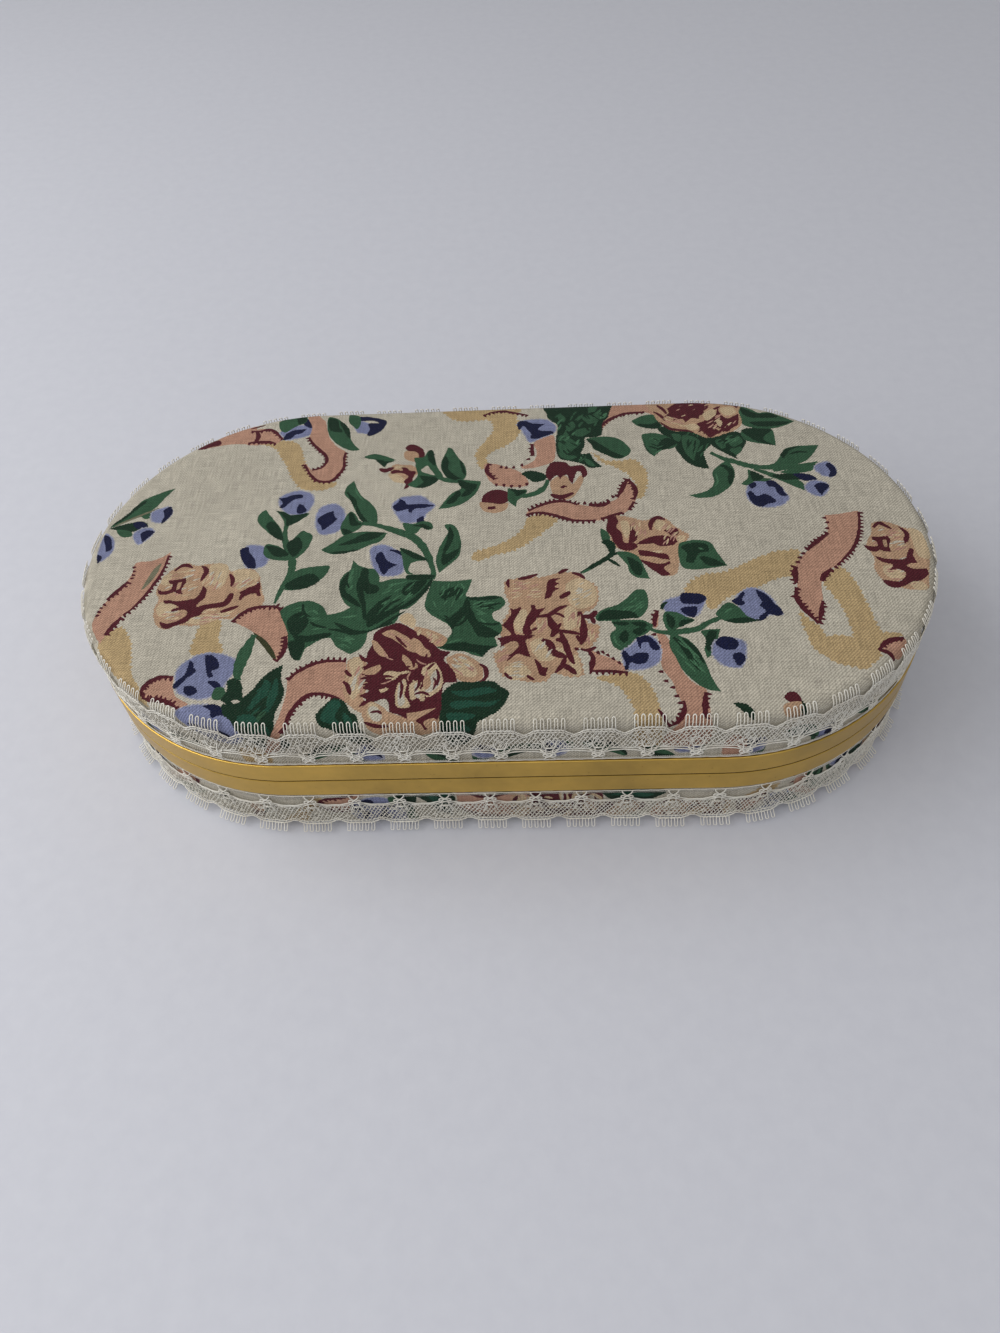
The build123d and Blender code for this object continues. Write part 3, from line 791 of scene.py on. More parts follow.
def front_middle(p):
    """The full dark rose, its leaves and the ribbon behind it."""
    p.panel(-52, 0)
    p.patch("peach", "68,692* 80,664 130,626 200,601 286,600* 292,650 300,720 325,790 300,802 260,772"
            " 200,760 142,780 110,820 98,862 60,945 30,1060 -30,1060 45,900 60,840 70,760")
    p.frill("70,692 100,655 150,620 210,602 287,604", 1, 11)
    p.frill("278,788 232,766 172,760 130,790 100,842 84,900 58,936", 1, 13)
    p.patch("green", "0,325 30,300 80,285 120,290 160,315 186,362* 215,358 250,345 274,325* 250,300 226,250"
            " 218,180 235,140 256,115 262,63* 285,90 305,102 330,112 360,120 382,165 385,190 440,175"
            " 500,175* 498,156 540,154 592,157 606,180 592,210 585,240 560,282 520,332 480,346* 470,400"
            " 455,420 400,440 358,460* 356,495 340,540 300,570* 280,560 240,530 214,485* 180,490 140,520"
            " 118,540 106,592* 90,596 60,560 45,500 36,450 15,400 -8,350")
    for text in (
        "38,368 80,345 112,382 106,430 72,472 45,452 28,402",
        "58,466 120,470 190,459 218,462* 190,486 130,503 80,503 68,482",
        "48,502 112,502 102,594* 80,592 60,560",
        "213,400* 260,420 300,445 345,450 380,440 442,398* 452,415 400,441 350,462 300,472 250,442",
        "224,180 242,148 252,172 246,230 300,290 322,332* 290,312 240,272 221,230",
        "304,108* 332,120 336,170 350,200 376,210 387,230 370,252 340,256 322,234 331,280 341,330 346,402*"
        " 330,380 320,320 300,262 289,200 299,150",
        "344,372 380,310 421,274* 431,286 400,340 372,400 358,418",
        "350,400 400,360 470,330 520,290 560,240 590,190 604,184 587,240 540,302 480,347 420,391 380,422"
        " 354,432",
        "498,158 600,158 603,180 560,186 500,181",
        "478,252 500,205 540,190 582,179 560,232 520,272",
    ):
        p.patch("green_dark", text)
    for text, width in (("250,380 310,370", 10), ("120,330 150,360", 9), ("130,440 180,430", 9),
    ("270,480 300,520", 10),
                        ("420,210 470,200 500,190", 9), ("400,260 440,230", 8),
                        ("250,200 262,150 268,110", 9)):
        p.stroke("green_light", text, width)
    p.patch("green", "605,188* 640,195 700,195 766,187* 756,230 744,280 800,285 850,279 886,290 902,320"
            " 886,350 850,375 861,410 886,430 886,480 858,496* 870,530 871,546 840,561 815,597* 780,585"
            " 740,566 680,560 638,545* 650,520 682,490 692,460 676,430 640,400 600,370 577,330 580,290"
            " 590,240")
    for text in (
        "638,262 690,228 722,240 702,272 652,292",
        "577,332 600,345 640,385 690,440 697,480 690,502* 702,440 742,380 762,330 745,284* 730,330 700,370"
        " 660,397 620,362",
        "744,283* 800,289 850,282 884,290 850,302 800,302 760,302",
        "734,318 760,340 780,380 800,420 884,480* 860,497 800,492 770,442 745,382",
        "640,541* 690,524 740,519 780,530 830,540 868,546 840,562 815,597* 780,572 700,561",
        "790,300 830,330 860,350 820,350 790,330",
    ):
        p.patch("green_dark", text)
    for text, width in (("650,220 640,245", 9), ("720,210 735,240", 8), ("800,400 840,440", 10),
    ("680,520 730,505", 8),
                        ("780,350 830,380", 9), ("610,300 625,340", 8)):
        p.stroke("green_light", text, width)
    p.patch("petal_light", "488,372 520,365 545,400 540,440 500,420 480,398")
    p.patch("petal", "545,436 600,450 650,476 676,505 650,540 612,525 575,500 545,470")
    p.patch("petal_light", "590,460 630,480 640,500 605,490")
    p.patch("petal", "292,600* 320,585 350,590 372,620 380,700 372,780 372,850 330,828 300,790 286,720"
            " 290,650", 4)
    p.patch("petal_light", "300,600 340,592 356,640 330,690 350,740 330,790 302,740 310,670")
    p.patch("petal", "675,600 692,588 722,574 760,590 800,620 817,650 815,702 780,716 740,713 715,692"
            " 692,650")
    p.patch("petal_light", "720,600 760,610 790,650 790,690 750,690 720,660")
    p.patch("petal", "370,830 400,800 470,850 560,880 660,860 655,930 600,960 500,980 400,930")
    p.patch("burgundy", "385,470 410,441 455,421 480,414 520,436 545,456 580,480 604,500* 640,546 660,562"
            " 692,566* 682,582 666,602 692,640 708,662 716,692 722,714* 700,716 672,722 666,762 666,852"
            " 640,900 602,930 560,900 520,872 472,850* 462,800 440,790 392,812 352,826* 366,800 380,790"
            " 350,772* 372,760 388,748 348,738* 366,728 384,712 352,700* 374,690 366,676 340,664* 362,650"
            " 350,640 372,616 348,602 330,566* 350,580 362,590 368,560 382,520")
    for text in (
        "414,466* 450,448 480,460 520,490 546,520 556,566* 530,560 490,521 460,496 430,481",
        "545,492* 570,510 590,545 616,566 612,592* 585,586 562,571 540,546 528,510",
        "378,500 400,510 421,540 446,576 450,587 420,581 400,561 385,531",
        "504,575 522,585 541,610 562,620 566,641 540,651 515,626 504,601",
        "351,661 380,640 421,624 427,640 410,666 380,673",
        "375,820 400,800 430,815 451,830 462,850 455,881 430,897 400,891 370,870",
        "538,856* 580,850 620,840 648,834* 625,851 590,876 570,891 592,906 602,940 560,945 543,901",
        "600,896 640,880 650,900 625,930",
    ):
        p.patch("petal", text)
    for text in (
        "438,666 466,654 490,660 532,655* 535,664 500,676 480,697 450,696",
        "589,640 630,618 652,650 666,702 661,742 640,766 610,782 584,760 600,702 584,670",
        "519,694* 495,720 489,760 494,820 515,832 546,826 541,800 524,770 530,720",
        "558,700 586,715 580,740 602,790 590,802* 570,786 555,797 544,780 539,730 549,711",
        "428,745 450,737 464,740 445,756 434,759",
        "394,806 420,812 430,846 410,880 388,858",
    ):
        p.patch("petal_light", text)
    p.hatch(("petal_light", "blush"), "550,440 600,455 660,490 670,520 640,535 590,515 550,480", 60, 9, 40, 8)
    p.hatch(("petal_light", "blush", "ground"),
            "296,600 350,592 372,640 372,780 330,800 296,730", 75, 22, 50, 10)
    p.hatch(("petal_light", "blush", "ground"),
            "680,600 720,580 780,605 812,660 800,710 740,705 700,660", -30, 16, 44, 9)
    p.patch("ground", "499,730 514,706 516,760 528,806 506,822 497,780", 2)
    p.patch("ground", "612,700 640,655 656,700 648,735 618,762 600,752 614,728", 2)
    p.patch("ground", "392,838 412,822 438,846 446,880 414,888", 2)
    p.patch("ground", "558,730 568,712 574,748 584,786 566,780", 2)
    p.hatch(("blush",), "430,455 480,465 540,520 548,555 470,500", -38, 7, 40, 6)
    p.hatch(("blush",), "592,640 640,630 660,700 650,740 600,770 595,720", 70, 5, 42, 6)
    for text in ("480,545 470,580 490,610", "520,575 545,600 552,640", "470,625 510,640 540,632",
                 "610,560 632,590 648,600",
                 "560,655 556,690 566,706", "640,650 650,690 645,730", "505,700 512,740 508,790",
                 "415,470 430,500 455,520",
                 "470,480 500,520 520,540", "600,600 640,585 670,600", "420,690 450,680 480,686",
                 "560,770 590,760 620,776",
                 "385,560 400,590 420,600", "500,850 530,840 560,846", "612,812 640,800 658,806",
                 "400,850 430,846 444,860",
                 "430,690 450,700 470,696", "560,680 576,700 574,730 560,756", "500,600 520,640 540,656",
                 "600,575 590,600 560,612",
                 "450,540 462,560 480,566", "380,600 396,616 420,616", "350,690 380,686 410,690",
                 "360,720 390,716 420,722"):
        p.stroke("burgundy", text, 11, 0.5, 0.2, 0.4)
    for text in ("430,560 446,590 470,600", "470,700 450,712 430,716", "540,660 530,690 536,704",
                 "560,600 580,620 600,626"):
        p.stroke("blush", text, 7, 0.4, 0.2, 0.4)
    p.hatch(("green_light", "green"), "20,330 80,300 150,320 180,380 150,460 110,440 60,380", 20, 12, 44, 7)
    p.hatch(("green_light",), "400,200 500,190 570,200 540,260 470,320 400,340", 48, 13, 52, 7)
    p.hatch(("green_light",), "236,150 280,110 300,140 290,240 240,230", 70, 6, 44, 6)
    p.hatch(("green_light",), "650,205 750,200 735,280 680,340 620,320", 65, 11, 44, 7)
    p.hatch(("green_light",), "770,305 880,300 880,345 810,400 750,350", 15, 11, 44, 7)
    p.hatch(("green_light",), "230,470 330,480 340,530 280,550 230,520", -20, 7, 40, 7)
    p.hatch(("green", "teal"), "690,745 800,725 900,780 870,850 760,890 690,840", 6, 20, 56, 7)
    for text in ("378,330 410,290 440,268", "392,372 440,310 480,286", "372,412 430,360 492,300",
                 "400,430 450,392 500,352",
                 "540,200 520,240 490,262", "655,300 680,262 694,240", "700,300 720,260 728,236",
                 "744,330 716,370 690,380",
                 "752,360 740,410 700,440", "812,340 850,330 884,322", "800,420 840,432 880,430",
                 "660,380 690,420 690,452",
                 "80,300 90,350 120,372", "200,440 240,446 290,470", "250,130 244,180 262,220",
                 "120,400 150,420 190,430"):
        p.stroke("green_dark", text, 13, 0.5, 0.2, 0.5)
    p.stroke("burgundy", "604,652 618,634 632,620", 10, 0.5, 0.3)
    p.stroke("burgundy", "628,690 640,715 630,750", 9, 0.4, 0.3)
    p.patch("petal", "594,690 612,680 622,720 606,750 592,730")
    p.stroke("burgundy", "804,631 826,650 831,690 815,712 798,719", 16, 0.4, 0.3)
    p.stroke("burgundy", "288,648 300,665 316,680", 15, 0.7, 0.3)
    p.stroke("burgundy", "284,702 302,722 318,768", 16, 0.6, 0.3)
    p.stroke("burgundy", "380,892 420,908 470,910", 14, 0.4, 0.3)
    p.patch("green_dark", "665,772* 682,742 720,716 780,716 850,714 886,740 917,770 906,810 882,850 840,881"
            " 802,900 792,940 760,1020 690,1040 660,900 665,830")
    for text in (
        "698,760 760,754 830,740 872,760 820,776 750,787",
        "698,812 760,801 830,811 884,800* 850,832 780,832 720,842",
        "688,862 740,860 794,870 760,892 700,892",
        "700,925 750,910 775,935 730,960",
    ):
        p.patch("teal", text)
    p.patch("green_dark", "198,850 235,800 260,779 300,800 320,840 352,870 362,920 400,1000 330,1010"
            " 262,930 215,906 199,880")
    for text in ("234,812 260,790 287,810 270,860 292,902* 240,892 215,872",
                 "300,850 330,880 335,915 305,890"):
        p.patch("teal", text)
    p.patch("green", "-6,188 14,130 50,105 100,95 152,91 167,100 152,150 110,195 60,221 20,221")
    p.patch("green_dark", "-6,192 40,152 90,135 121,150 131,180 90,211 40,223 0,216")


def front_right(p):
    """The branching rose, its ribbons and the bellflowers right of it."""
    p.panel(-2, 0)
    p.patch("tan", "400,705 440,700 500,690 560,705 602,770 622,850 628,905 630,1060 540,1060 530,880"
            " 505,800 460,740 410,723", 8)
    p.patch("peach", "640,392* 656,398 644,470 626,462 630,430")
    p.frill("654,383 641,420 635,468", -1, 12)
    p.patch("peach", "640,498 670,508 692,560 702,620 722,690 760,750 800,780 802,850 806,1060 640,1060"
            " 690,920 715,872 692,800 680,740 650,680 642,600 650,560")
    for place in ((628,506), (641,546), (640,690), (655,735), (676,765), (687,806), (697,838)):
        p.tooth(*place, 180)
    p.stroke("burgundy", "712,828 712,872 692,912 652,944", 15, 0.6, 0.6)
    p.frill("708,860 692,905 660,938", -1, 8, tooth=16)
    p.stroke("burgundy", "614,862 634,896 654,936", 12, 0.3, 0.6)
    p.frill("798,792 790,832 784,902", 1, 15)
    p.patch("petal", "52,210 100,190 200,186 280,166 330,168 372,205 415,240 426,290 416,345 385,376"
            " 365,385 378,440 420,452 416,500 396,540 376,572 330,572 340,620 350,692 300,702 235,682"
            " 215,716 150,726 90,706 45,692 15,622 8,580 48,560 38,500 34,450 50,400 70,340 50,280", 7)
    for text in (
        "300,230 360,200 412,250 416,322 370,362 320,352 300,300",
        "90,390 130,360 141,430 121,480 90,462",
        "150,530 200,510 232,560 242,612 190,622 160,582",
        "50,652 110,640 152,680 100,712 60,702",
        "300,350 340,380 332,452 290,472 280,412",
        "248,560 286,570 282,612 254,602",
        "300,620 330,600 340,690 305,690",
    ):
        p.patch("petal_light", text, 3)
    p.patch("peach", "384,580 420,600 470,625 502,650 517,680 380,676 388,630")
    for place in ((410,590), (428,589), (446,604), (466,622), (488,643)):
        p.tooth(*place, -60, 0.9)
    p.frill("372,678 440,680 517,690", -1, 10)
    for text, width in (
        ("66,194 60,216 68,240", 15), ("103,194 140,188 184,171", 17), ("270,172 290,155 310,149", 16),
        ("323,170 352,180 376,206", 14), ("270,304 292,290 314,271", 20),
        ("170,400 225,392 262,362 300,346", 18),
        ("240,384 262,388 287,407", 13), ("224,396 236,440 250,470 230,504", 29), ("248,474 272,436", 15),
        ("252,472 300,482 352,496", 16), ("345,378 352,430 360,490 344,548", 31),
        ("358,402 390,405 414,376", 24),
        ("388,398 403,444", 15), ("268,482 285,540 300,600 316,642", 24), ("248,520 287,520", 22),
        ("196,516 226,540 236,580 287,606", 32), ("286,598 270,645 242,682", 18),
        ("268,640 300,665 322,690", 22),
        ("50,678 65,696 80,708", 14), ("136,691 150,705 164,713", 14), ("320,564 337,573", 15),
        ("343,569 370,576 404,560", 16),
        ("374,578 386,620 377,678", 22), ("330,500 352,540", 18), ("155,470 190,450", 12),
    ):
        p.stroke("burgundy", text, width, 0.55, 0.25)
    for text in (
        "277,196* 240,200 220,220 218,250 209,308* 235,300 245,270 272,254* 252,245 270,225* 255,215",
        "70,348* 85,358 113,342* 115,356 100,390 85,430 90,480 110,490 168,492* 150,510 132,522 150,602*"
        " 130,596 100,586 75,606 58,622* 65,595 90,570 105,540 90,522 60,532 33,552* 35,526 18,504* 50,496"
        " 75,486 55,456 38,438* 60,410 75,380",
        "153,338* 170,340 178,360 213,354* 195,376 185,396 165,430 150,450 158,486 130,491 119,470 128,430"
        " 140,390 155,365",
        "164,610* 185,630 195,650 217,655* 210,680 206,698* 184,690 175,660",
    ):
        p.patch("burgundy", text)
    for ink_set, text, angle, count in (
        (("petal_light", "blush"), "70,205 180,195 220,250 200,330 120,330 60,290", 10, 24),
        (("ground", "petal_light"), "310,215 380,220 412,280 400,340 320,350 300,290", 35, 20),
        (("blush", "petal_light"), "170,400 230,410 240,480 180,500 165,450", 80, 10),
        (("petal_light", "ground"), "150,530 210,520 236,560 240,610 180,610 155,570", 60, 10),
        (("ground", "petal_light"), "60,620 130,620 155,680 110,710 60,690", 5, 14),
        (("blush",), "20,570 60,560 80,600 40,640 15,620", 30, 7),
        (("blush", "petal_light"), "300,350 350,390 350,470 300,480 285,420", 75, 9),
        (("petal_light", "blush"), "400,460 418,500 380,560 360,540 365,470", 80, 8),
        (("ground",), "345,580 375,590 372,670 350,680", 85, 6),
    ):
        p.hatch(ink_set, text, angle, count, 44, 8)
    p.patch("green", "616,284 600,269 570,275 540,310 500,345 440,370 415,395 411,426 470,431 530,421"
            " 580,416 611,380 621,330")
    p.hatch(("green_light",), "430,390 500,350 590,280 612,340 570,405 440,415", 35, 12, 44, 7)
    p.patch("green_dark", "412,426* 470,426 530,421 582,418* 560,390 520,378 450,375 430,391")
    p.patch("green", "470,430 530,428 590,430 621,450 628,466 600,501 560,521 530,561 500,582 470,561"
            " 459,520 465,490 484,470")
    for text in ("544,440 590,440 612,465 590,497 560,506 549,480 580,465"
            " 555,455", "494,510 520,480 532,500 526,531 508,541",
                 "470,440 520,436 540,450 500,456"):
        p.patch("green_dark", text)
    p.stroke("green_light", "475,500 480,540 500,562", 9)
    p.stroke("green", "600,466 640,490 690,500 740,495 800,485 850,452 940,416", 20, 0.7, 0.9)
    p.wash("lilac", "500,590 530,560 570,520 610,510 640,540 651,590 640,640 600,671 540,681 505,661")
    for text in (
        "558,520* 600,510 630,540 646,576 630,586 610,571 605,545 580,545 574,577* 564,560",
        "505,578* 520,590 530,610 560,595 600,600 591,640 560,652 530,641 520,677* 505,676 510,640 499,610",
    ):
        p.patch("navy", text)
    p.wash("lilac", "670,360 690,330 750,310 800,300 846,320 830,380 800,421 760,421 720,401 690,396")
    p.patch("navy", "754,300 800,297 841,310 849,335 820,356 780,356 749,345")
    p.patch("navy", "744,380 770,370 806,370 806,400 790,427 760,411")
    p.stroke("green_dark", "668,378 680,352 696,340", 17, 0.7, 0.4)
    p.patch("green", "680,394 720,394 760,421 792,440 760,461 720,481 700,502 680,481 669,430")
    p.patch("green_dark", "689,400 716,440 701,482 684,450")
    p.patch("green_dark", "740,440 790,438 760,460 730,470")
    p.patch("green", "810,501 840,490 887,489* 870,540 850,601 820,633* 814,590 825,540")
    p.patch("green_dark", "840,500 872,500 860,541 830,602 819,560")
    p.patch("green", "698,498 730,519 760,539 790,590 811,650 826,720 853,792* 800,776 760,741 720,681"
            " 700,620 684,560")
    p.stroke("green_dark", "702,524 735,570 760,632 788,692", 25, 0.5, 0.2)
    p.stroke("green_dark", "736,528 780,590 804,655", 19, 0.4, 0.2)
    p.stroke("green_light", "722,530 756,580 776,630", 8)
    p.hatch(("green_light",), "690,520 740,540 800,640 830,740 770,730 710,620", -62, 12, 56, 6)
    p.wash("lilac", "840,620 850,560 890,530 935,540 972,560 964,640 937,682 880,671")
    p.patch("navy", "858,562 885,529 925,534 947,560 930,592 890,592")
    p.patch("navy", "918,620 950,609 964,640 932,673")
    p.stroke("green_dark", "358,172 400,145 460,100 490,70 486,30 460,-8", 24, 0.5, 0.9)
    p.stroke("green_dark", "470,94 500,120 522,142", 17, 0.7, 0.3)
    p.stroke("green_dark", "486,78 530,58", 14, 0.7, 0.5)
    p.stroke("green", "364,172 400,150", 10)
    p.patch("green", "513,64 560,60 600,90 620,150 637,214* 590,206 560,181 549,130")
    p.patch("green_dark", "554,90 590,110 611,150 602,192 575,181 560,130")
    p.patch("green", "770,30 800,10 850,4 900,20 925,80 945,130 956,154* 910,162 880,166 820,171 775,156"
            " 764,100")
    for text in ("780,40 830,20 882,30 891,70 850,80 820,131 790,121 800,80",
                 "850,100 900,110 952,152* 880,151"):
        p.patch("green_dark", text)
    p.stroke("green_light", "850,50 870,60", 9)
    p.patch("green_dark", "888,845* 935,850 960,880 968,925* 930,892")


def right_end(p):
    """The ribbons and the open rose at the right end."""
    p.panel(50, 12)
    p.patch("tan", "372,290 300,284 240,299 170,335 100,370 40,395 -30,400 -100,450 -116,500 -60,520"
            " -22,592 20,562 60,531 120,501 180,481 230,451 282,431 338,420", 9)
    p.patch("tan", "480,400 520,380 552,420 572,480 587,560 602,650 612,720 645,726 690,740 660,772 602,802"
            " 582,852 540,892 520,907 480,897 430,882 380,842 338,792 328,730 318,660 322,610 345,650"
            " 380,690 400,742 460,736 500,746 500,700 490,620 470,550 440,480 436,455", 9)
    p.patch("peach", "516,82* 560,80 610,70 662,60* 655,110 640,180 620,240 590,290 560,330 520,370 472,400"
            " 436,456 426,500 420,560 400,620 382,682* 350,640 330,590 324,530 334,470 340,400 350,360"
            " 380,320 410,285 450,250 500,205 515,150")
    for place in ((510,100), (517,127), (510,162), (386,303), (368,326), (355,352)):
        p.tooth(*place, 180)
    p.frill("512,190 480,215 440,250 404,286", -1, 14)
    p.frill("346,376 335,410 331,467", -1, 17)
    p.frill("328,488 319,540 334,590 355,630 382,678", 1, 14)
    p.tooth(306, 536, 180)
    p.tooth(322, 514, 160)
    p.frill("382,678 400,632 411,590 419,562", -1, 13)
    p.frill("663,66 655,120 640,180 620,236 590,286 550,332 512,374", 1, 10)
    p.tooth(507, 386, -50)
    p.frill("488,393 455,420 434,458", 1, 16)
    p.patch("peach", "600,812 640,770 692,760 700,800 668,852 620,842")
    p.frill("585,817 610,786 640,768 692,759", -1, 15)
    p.stroke("burgundy", "584,815 618,830 640,862", 18, 0.4, 0.6)
    p.patch("petal", "690,190 700,140 740,124 790,140 832,165 872,180 892,240 900,300 884,380 866,440"
            " 846,506 790,512 740,502 690,482 664,430 658,380 670,340 654,280 660,240", 5)
    p.patch("petal_light", "850,170 896,200 900,330 852,332 846,240")
    p.patch("petal_light", "700,380 760,390 772,440 720,452 690,420")
    p.patch("petal_light", "780,480 830,470 846,506 800,512")
    p.hatch(("petal_light", "blush", "ground"),
            "700,150 780,150 830,190 830,300 700,300 670,250", 15, 26, 46, 9)
    p.hatch(("petal_light", "blush", "ground"), "690,330 830,330 850,430 790,500 700,470", 10, 22, 46, 9)
    p.stroke("burgundy", "703,162 730,135 752,148 778,172", 17, 0.6, 0.3)
    p.patch("burgundy", "806,158 830,174 843,205 830,241 811,258* 812,230 822,205 818,185")
    p.patch("burgundy", "684,214* 720,215 752,211* 757,240 744,270 747,302* 720,301 700,291 690,301 660,296"
            " 638,260* 660,268 690,272 700,260 698,240 684,236")
    p.patch("petal", "725,236 740,232 736,275 725,276")
    p.patch("burgundy", "673,324* 710,340 750,345 790,345 805,320 822,283* 839,290 830,330 836,366* 800,373"
            " 790,386 820,400 867,398* 866,430 830,461 790,471 760,491 715,501 684,482 674,454* 700,461"
            " 740,466 765,446 776,420 750,401 713,408* 735,376 700,361 680,341")
    p.wash("lilac", "80,540 110,500 150,484 190,500 221,540 246,600 251,631 200,631 160,651 110,661 90,600")
    for text in (
        "58,552* 90,530 112,503* 121,515 105,545 116,566 90,577",
        "164,494* 200,520 220,550 226,570 246,590 254,622 230,636 200,626 180,651 150,662* 165,631 190,611"
        " 170,581 180,560 170,530",
    ):
        p.patch("navy", text)
    p.patch("green", "-6,622 10,590 50,558 90,590 111,631 153,656* 90,669 30,656")
    p.patch("green_dark", "28,651 80,640 111,641 164,656* 120,666 60,666")
    p.stroke("green_light", "30,610 60,590", 10)
    p.patch("burgundy", "194,1030 220,1004 246,1010 256,1050 230,1062")
    p.patch("petal", "190,1062 256,1052 262,1110 200,1110")
    p.patch("green_dark", "256,1046 282,1090 284,1120 262,1100")


def left_back(p):
    """The back left: bellflowers on thin stems and the ribbons at the edge."""
    p.panel(-105, 54)
    p.patch("tan", "600,190 700,190 790,200 836,240 858,300 885,380 925,430 980,480 1040,500 1000,541"
            " 930,546 880,531 840,482 800,400 760,320 715,250 650,218", 8)
    p.patch("peach", "380,226 440,211 500,202 560,206 606,212 606,108 570,60 500,90 450,130 410,190")
    p.patch("burgundy", "340,226 385,186 430,168 447,190 440,207 400,217 370,232")
    p.patch("peach", "600,110 660,99 702,120 742,172 720,212 700,207 640,217 600,207")
    p.frill("578,114 620,116 660,105 702,130 742,184", -1, 12, tooth=12)
    p.frill("578,200 620,195 680,201 714,212", -1, 13, tooth=12)
    p.stroke("burgundy", "608,118 620,158 611,202", 20, 0.7, 0.7)
    p.stroke("burgundy", "572,94 600,84 640,70", 10, 0.6, 0.3)
    p.wash("lilac", "720,130 760,100 820,80 886,110 866,160 810,181 760,191 740,166")
    p.patch("navy", "744,192* 750,150 780,120 810,115 848,110* 830,141 800,151 780,181")
    p.patch("navy", "808,20 850,40 884,78 870,104 830,80")
    p.patch("green", "706,50 760,10 830,0 834,60 790,91 750,132 720,111")
    p.patch("green_dark", "790,0 834,20 830,62 800,70")
    p.wash("lilac", "790,590 830,555 880,544 936,570 951,620 932,681 890,701 840,691 800,641")
    p.patch("navy", "784,588* 820,585 850,570 890,571 897,590 860,601 840,621 820,651 799,651 810,620")
    p.patch("navy", "884,629* 905,640 924,670 915,687 890,691 879,670")
    p.stroke("green", "850,745 850,820 870,900 900,960 908,1030 900,1080 880,1140 862,1215", 24, 0.7, 0.3)
    p.patch("green", "788,669* 830,679 860,700 932,690 937,701 890,746 845,770 825,721")
    p.patch("green_dark", "788,669* 830,681 861,702 932,692 890,747 848,765 838,722")
    p.patch("green", "740,664 760,690 790,730 830,790 854,864* 800,831 750,781 719,740 714,700")
    p.patch("green_dark", "758,762 790,738 830,800 853,863* 800,832")
    p.patch("green", "918,804 946,810 972,831 962,900 922,962 892,950 872,890")
    p.patch("green_dark", "866,880 912,838 936,900 900,956")
    p.wash("lilac", "690,890 740,880 781,900 801,950 791,1000 740,1016 700,991")
    p.patch("navy", "668,905 700,889 711,920 740,960 752,1012 720,1011 689,970")
    p.patch("green", "778,878 830,889 880,930 906,968 860,976 800,961 774,930")
    p.patch("green_dark", "779,889 840,899 884,942 830,952")
    p.patch("green", "880,1118 930,1122 952,1140 900,1142")
    p.patch("green", "294,497* 240,520 160,570 130,630 90,680 50,732 90,721 140,691 180,671 230,621 261,560")
    p.patch("green_dark", "56,720 110,650 140,600 176,572 182,582 150,621 100,692")
    p.patch("green", "176,661 240,625 262,640 230,681 200,691")
    p.stroke("sage", "72,724 130,691 200,652 242,626", 13, 0.5, 0.4)
    p.wash("lilac", "220,650 260,625 300,619 316,660 300,701 270,721 230,701")
    p.patch("navy", "273,640 300,617 318,660 295,712 279,722 283,680")
    p.patch("green_dark", "48,740* 110,719 180,704 216,720 227,746* 180,766 130,771 90,756")
    p.patch("navy", "150,712 195,708 224,742 180,752")
    p.patch("green", "88,750 150,765 166,795 130,802 100,781")
    p.wash("lilac", "170,780 200,750 240,749 263,775 240,821 210,851 180,821")
    p.patch("navy", "204,780 230,764 264,775 240,811 225,837 211,811")
    p.wash("lilac", "36,776 80,799 101,850 96,901 60,942 36,901")
    p.patch("navy", "36,780 70,799 86,840 92,872 70,882 60,851 45,821")
    p.patch("navy", "36,898 62,920 50,952")


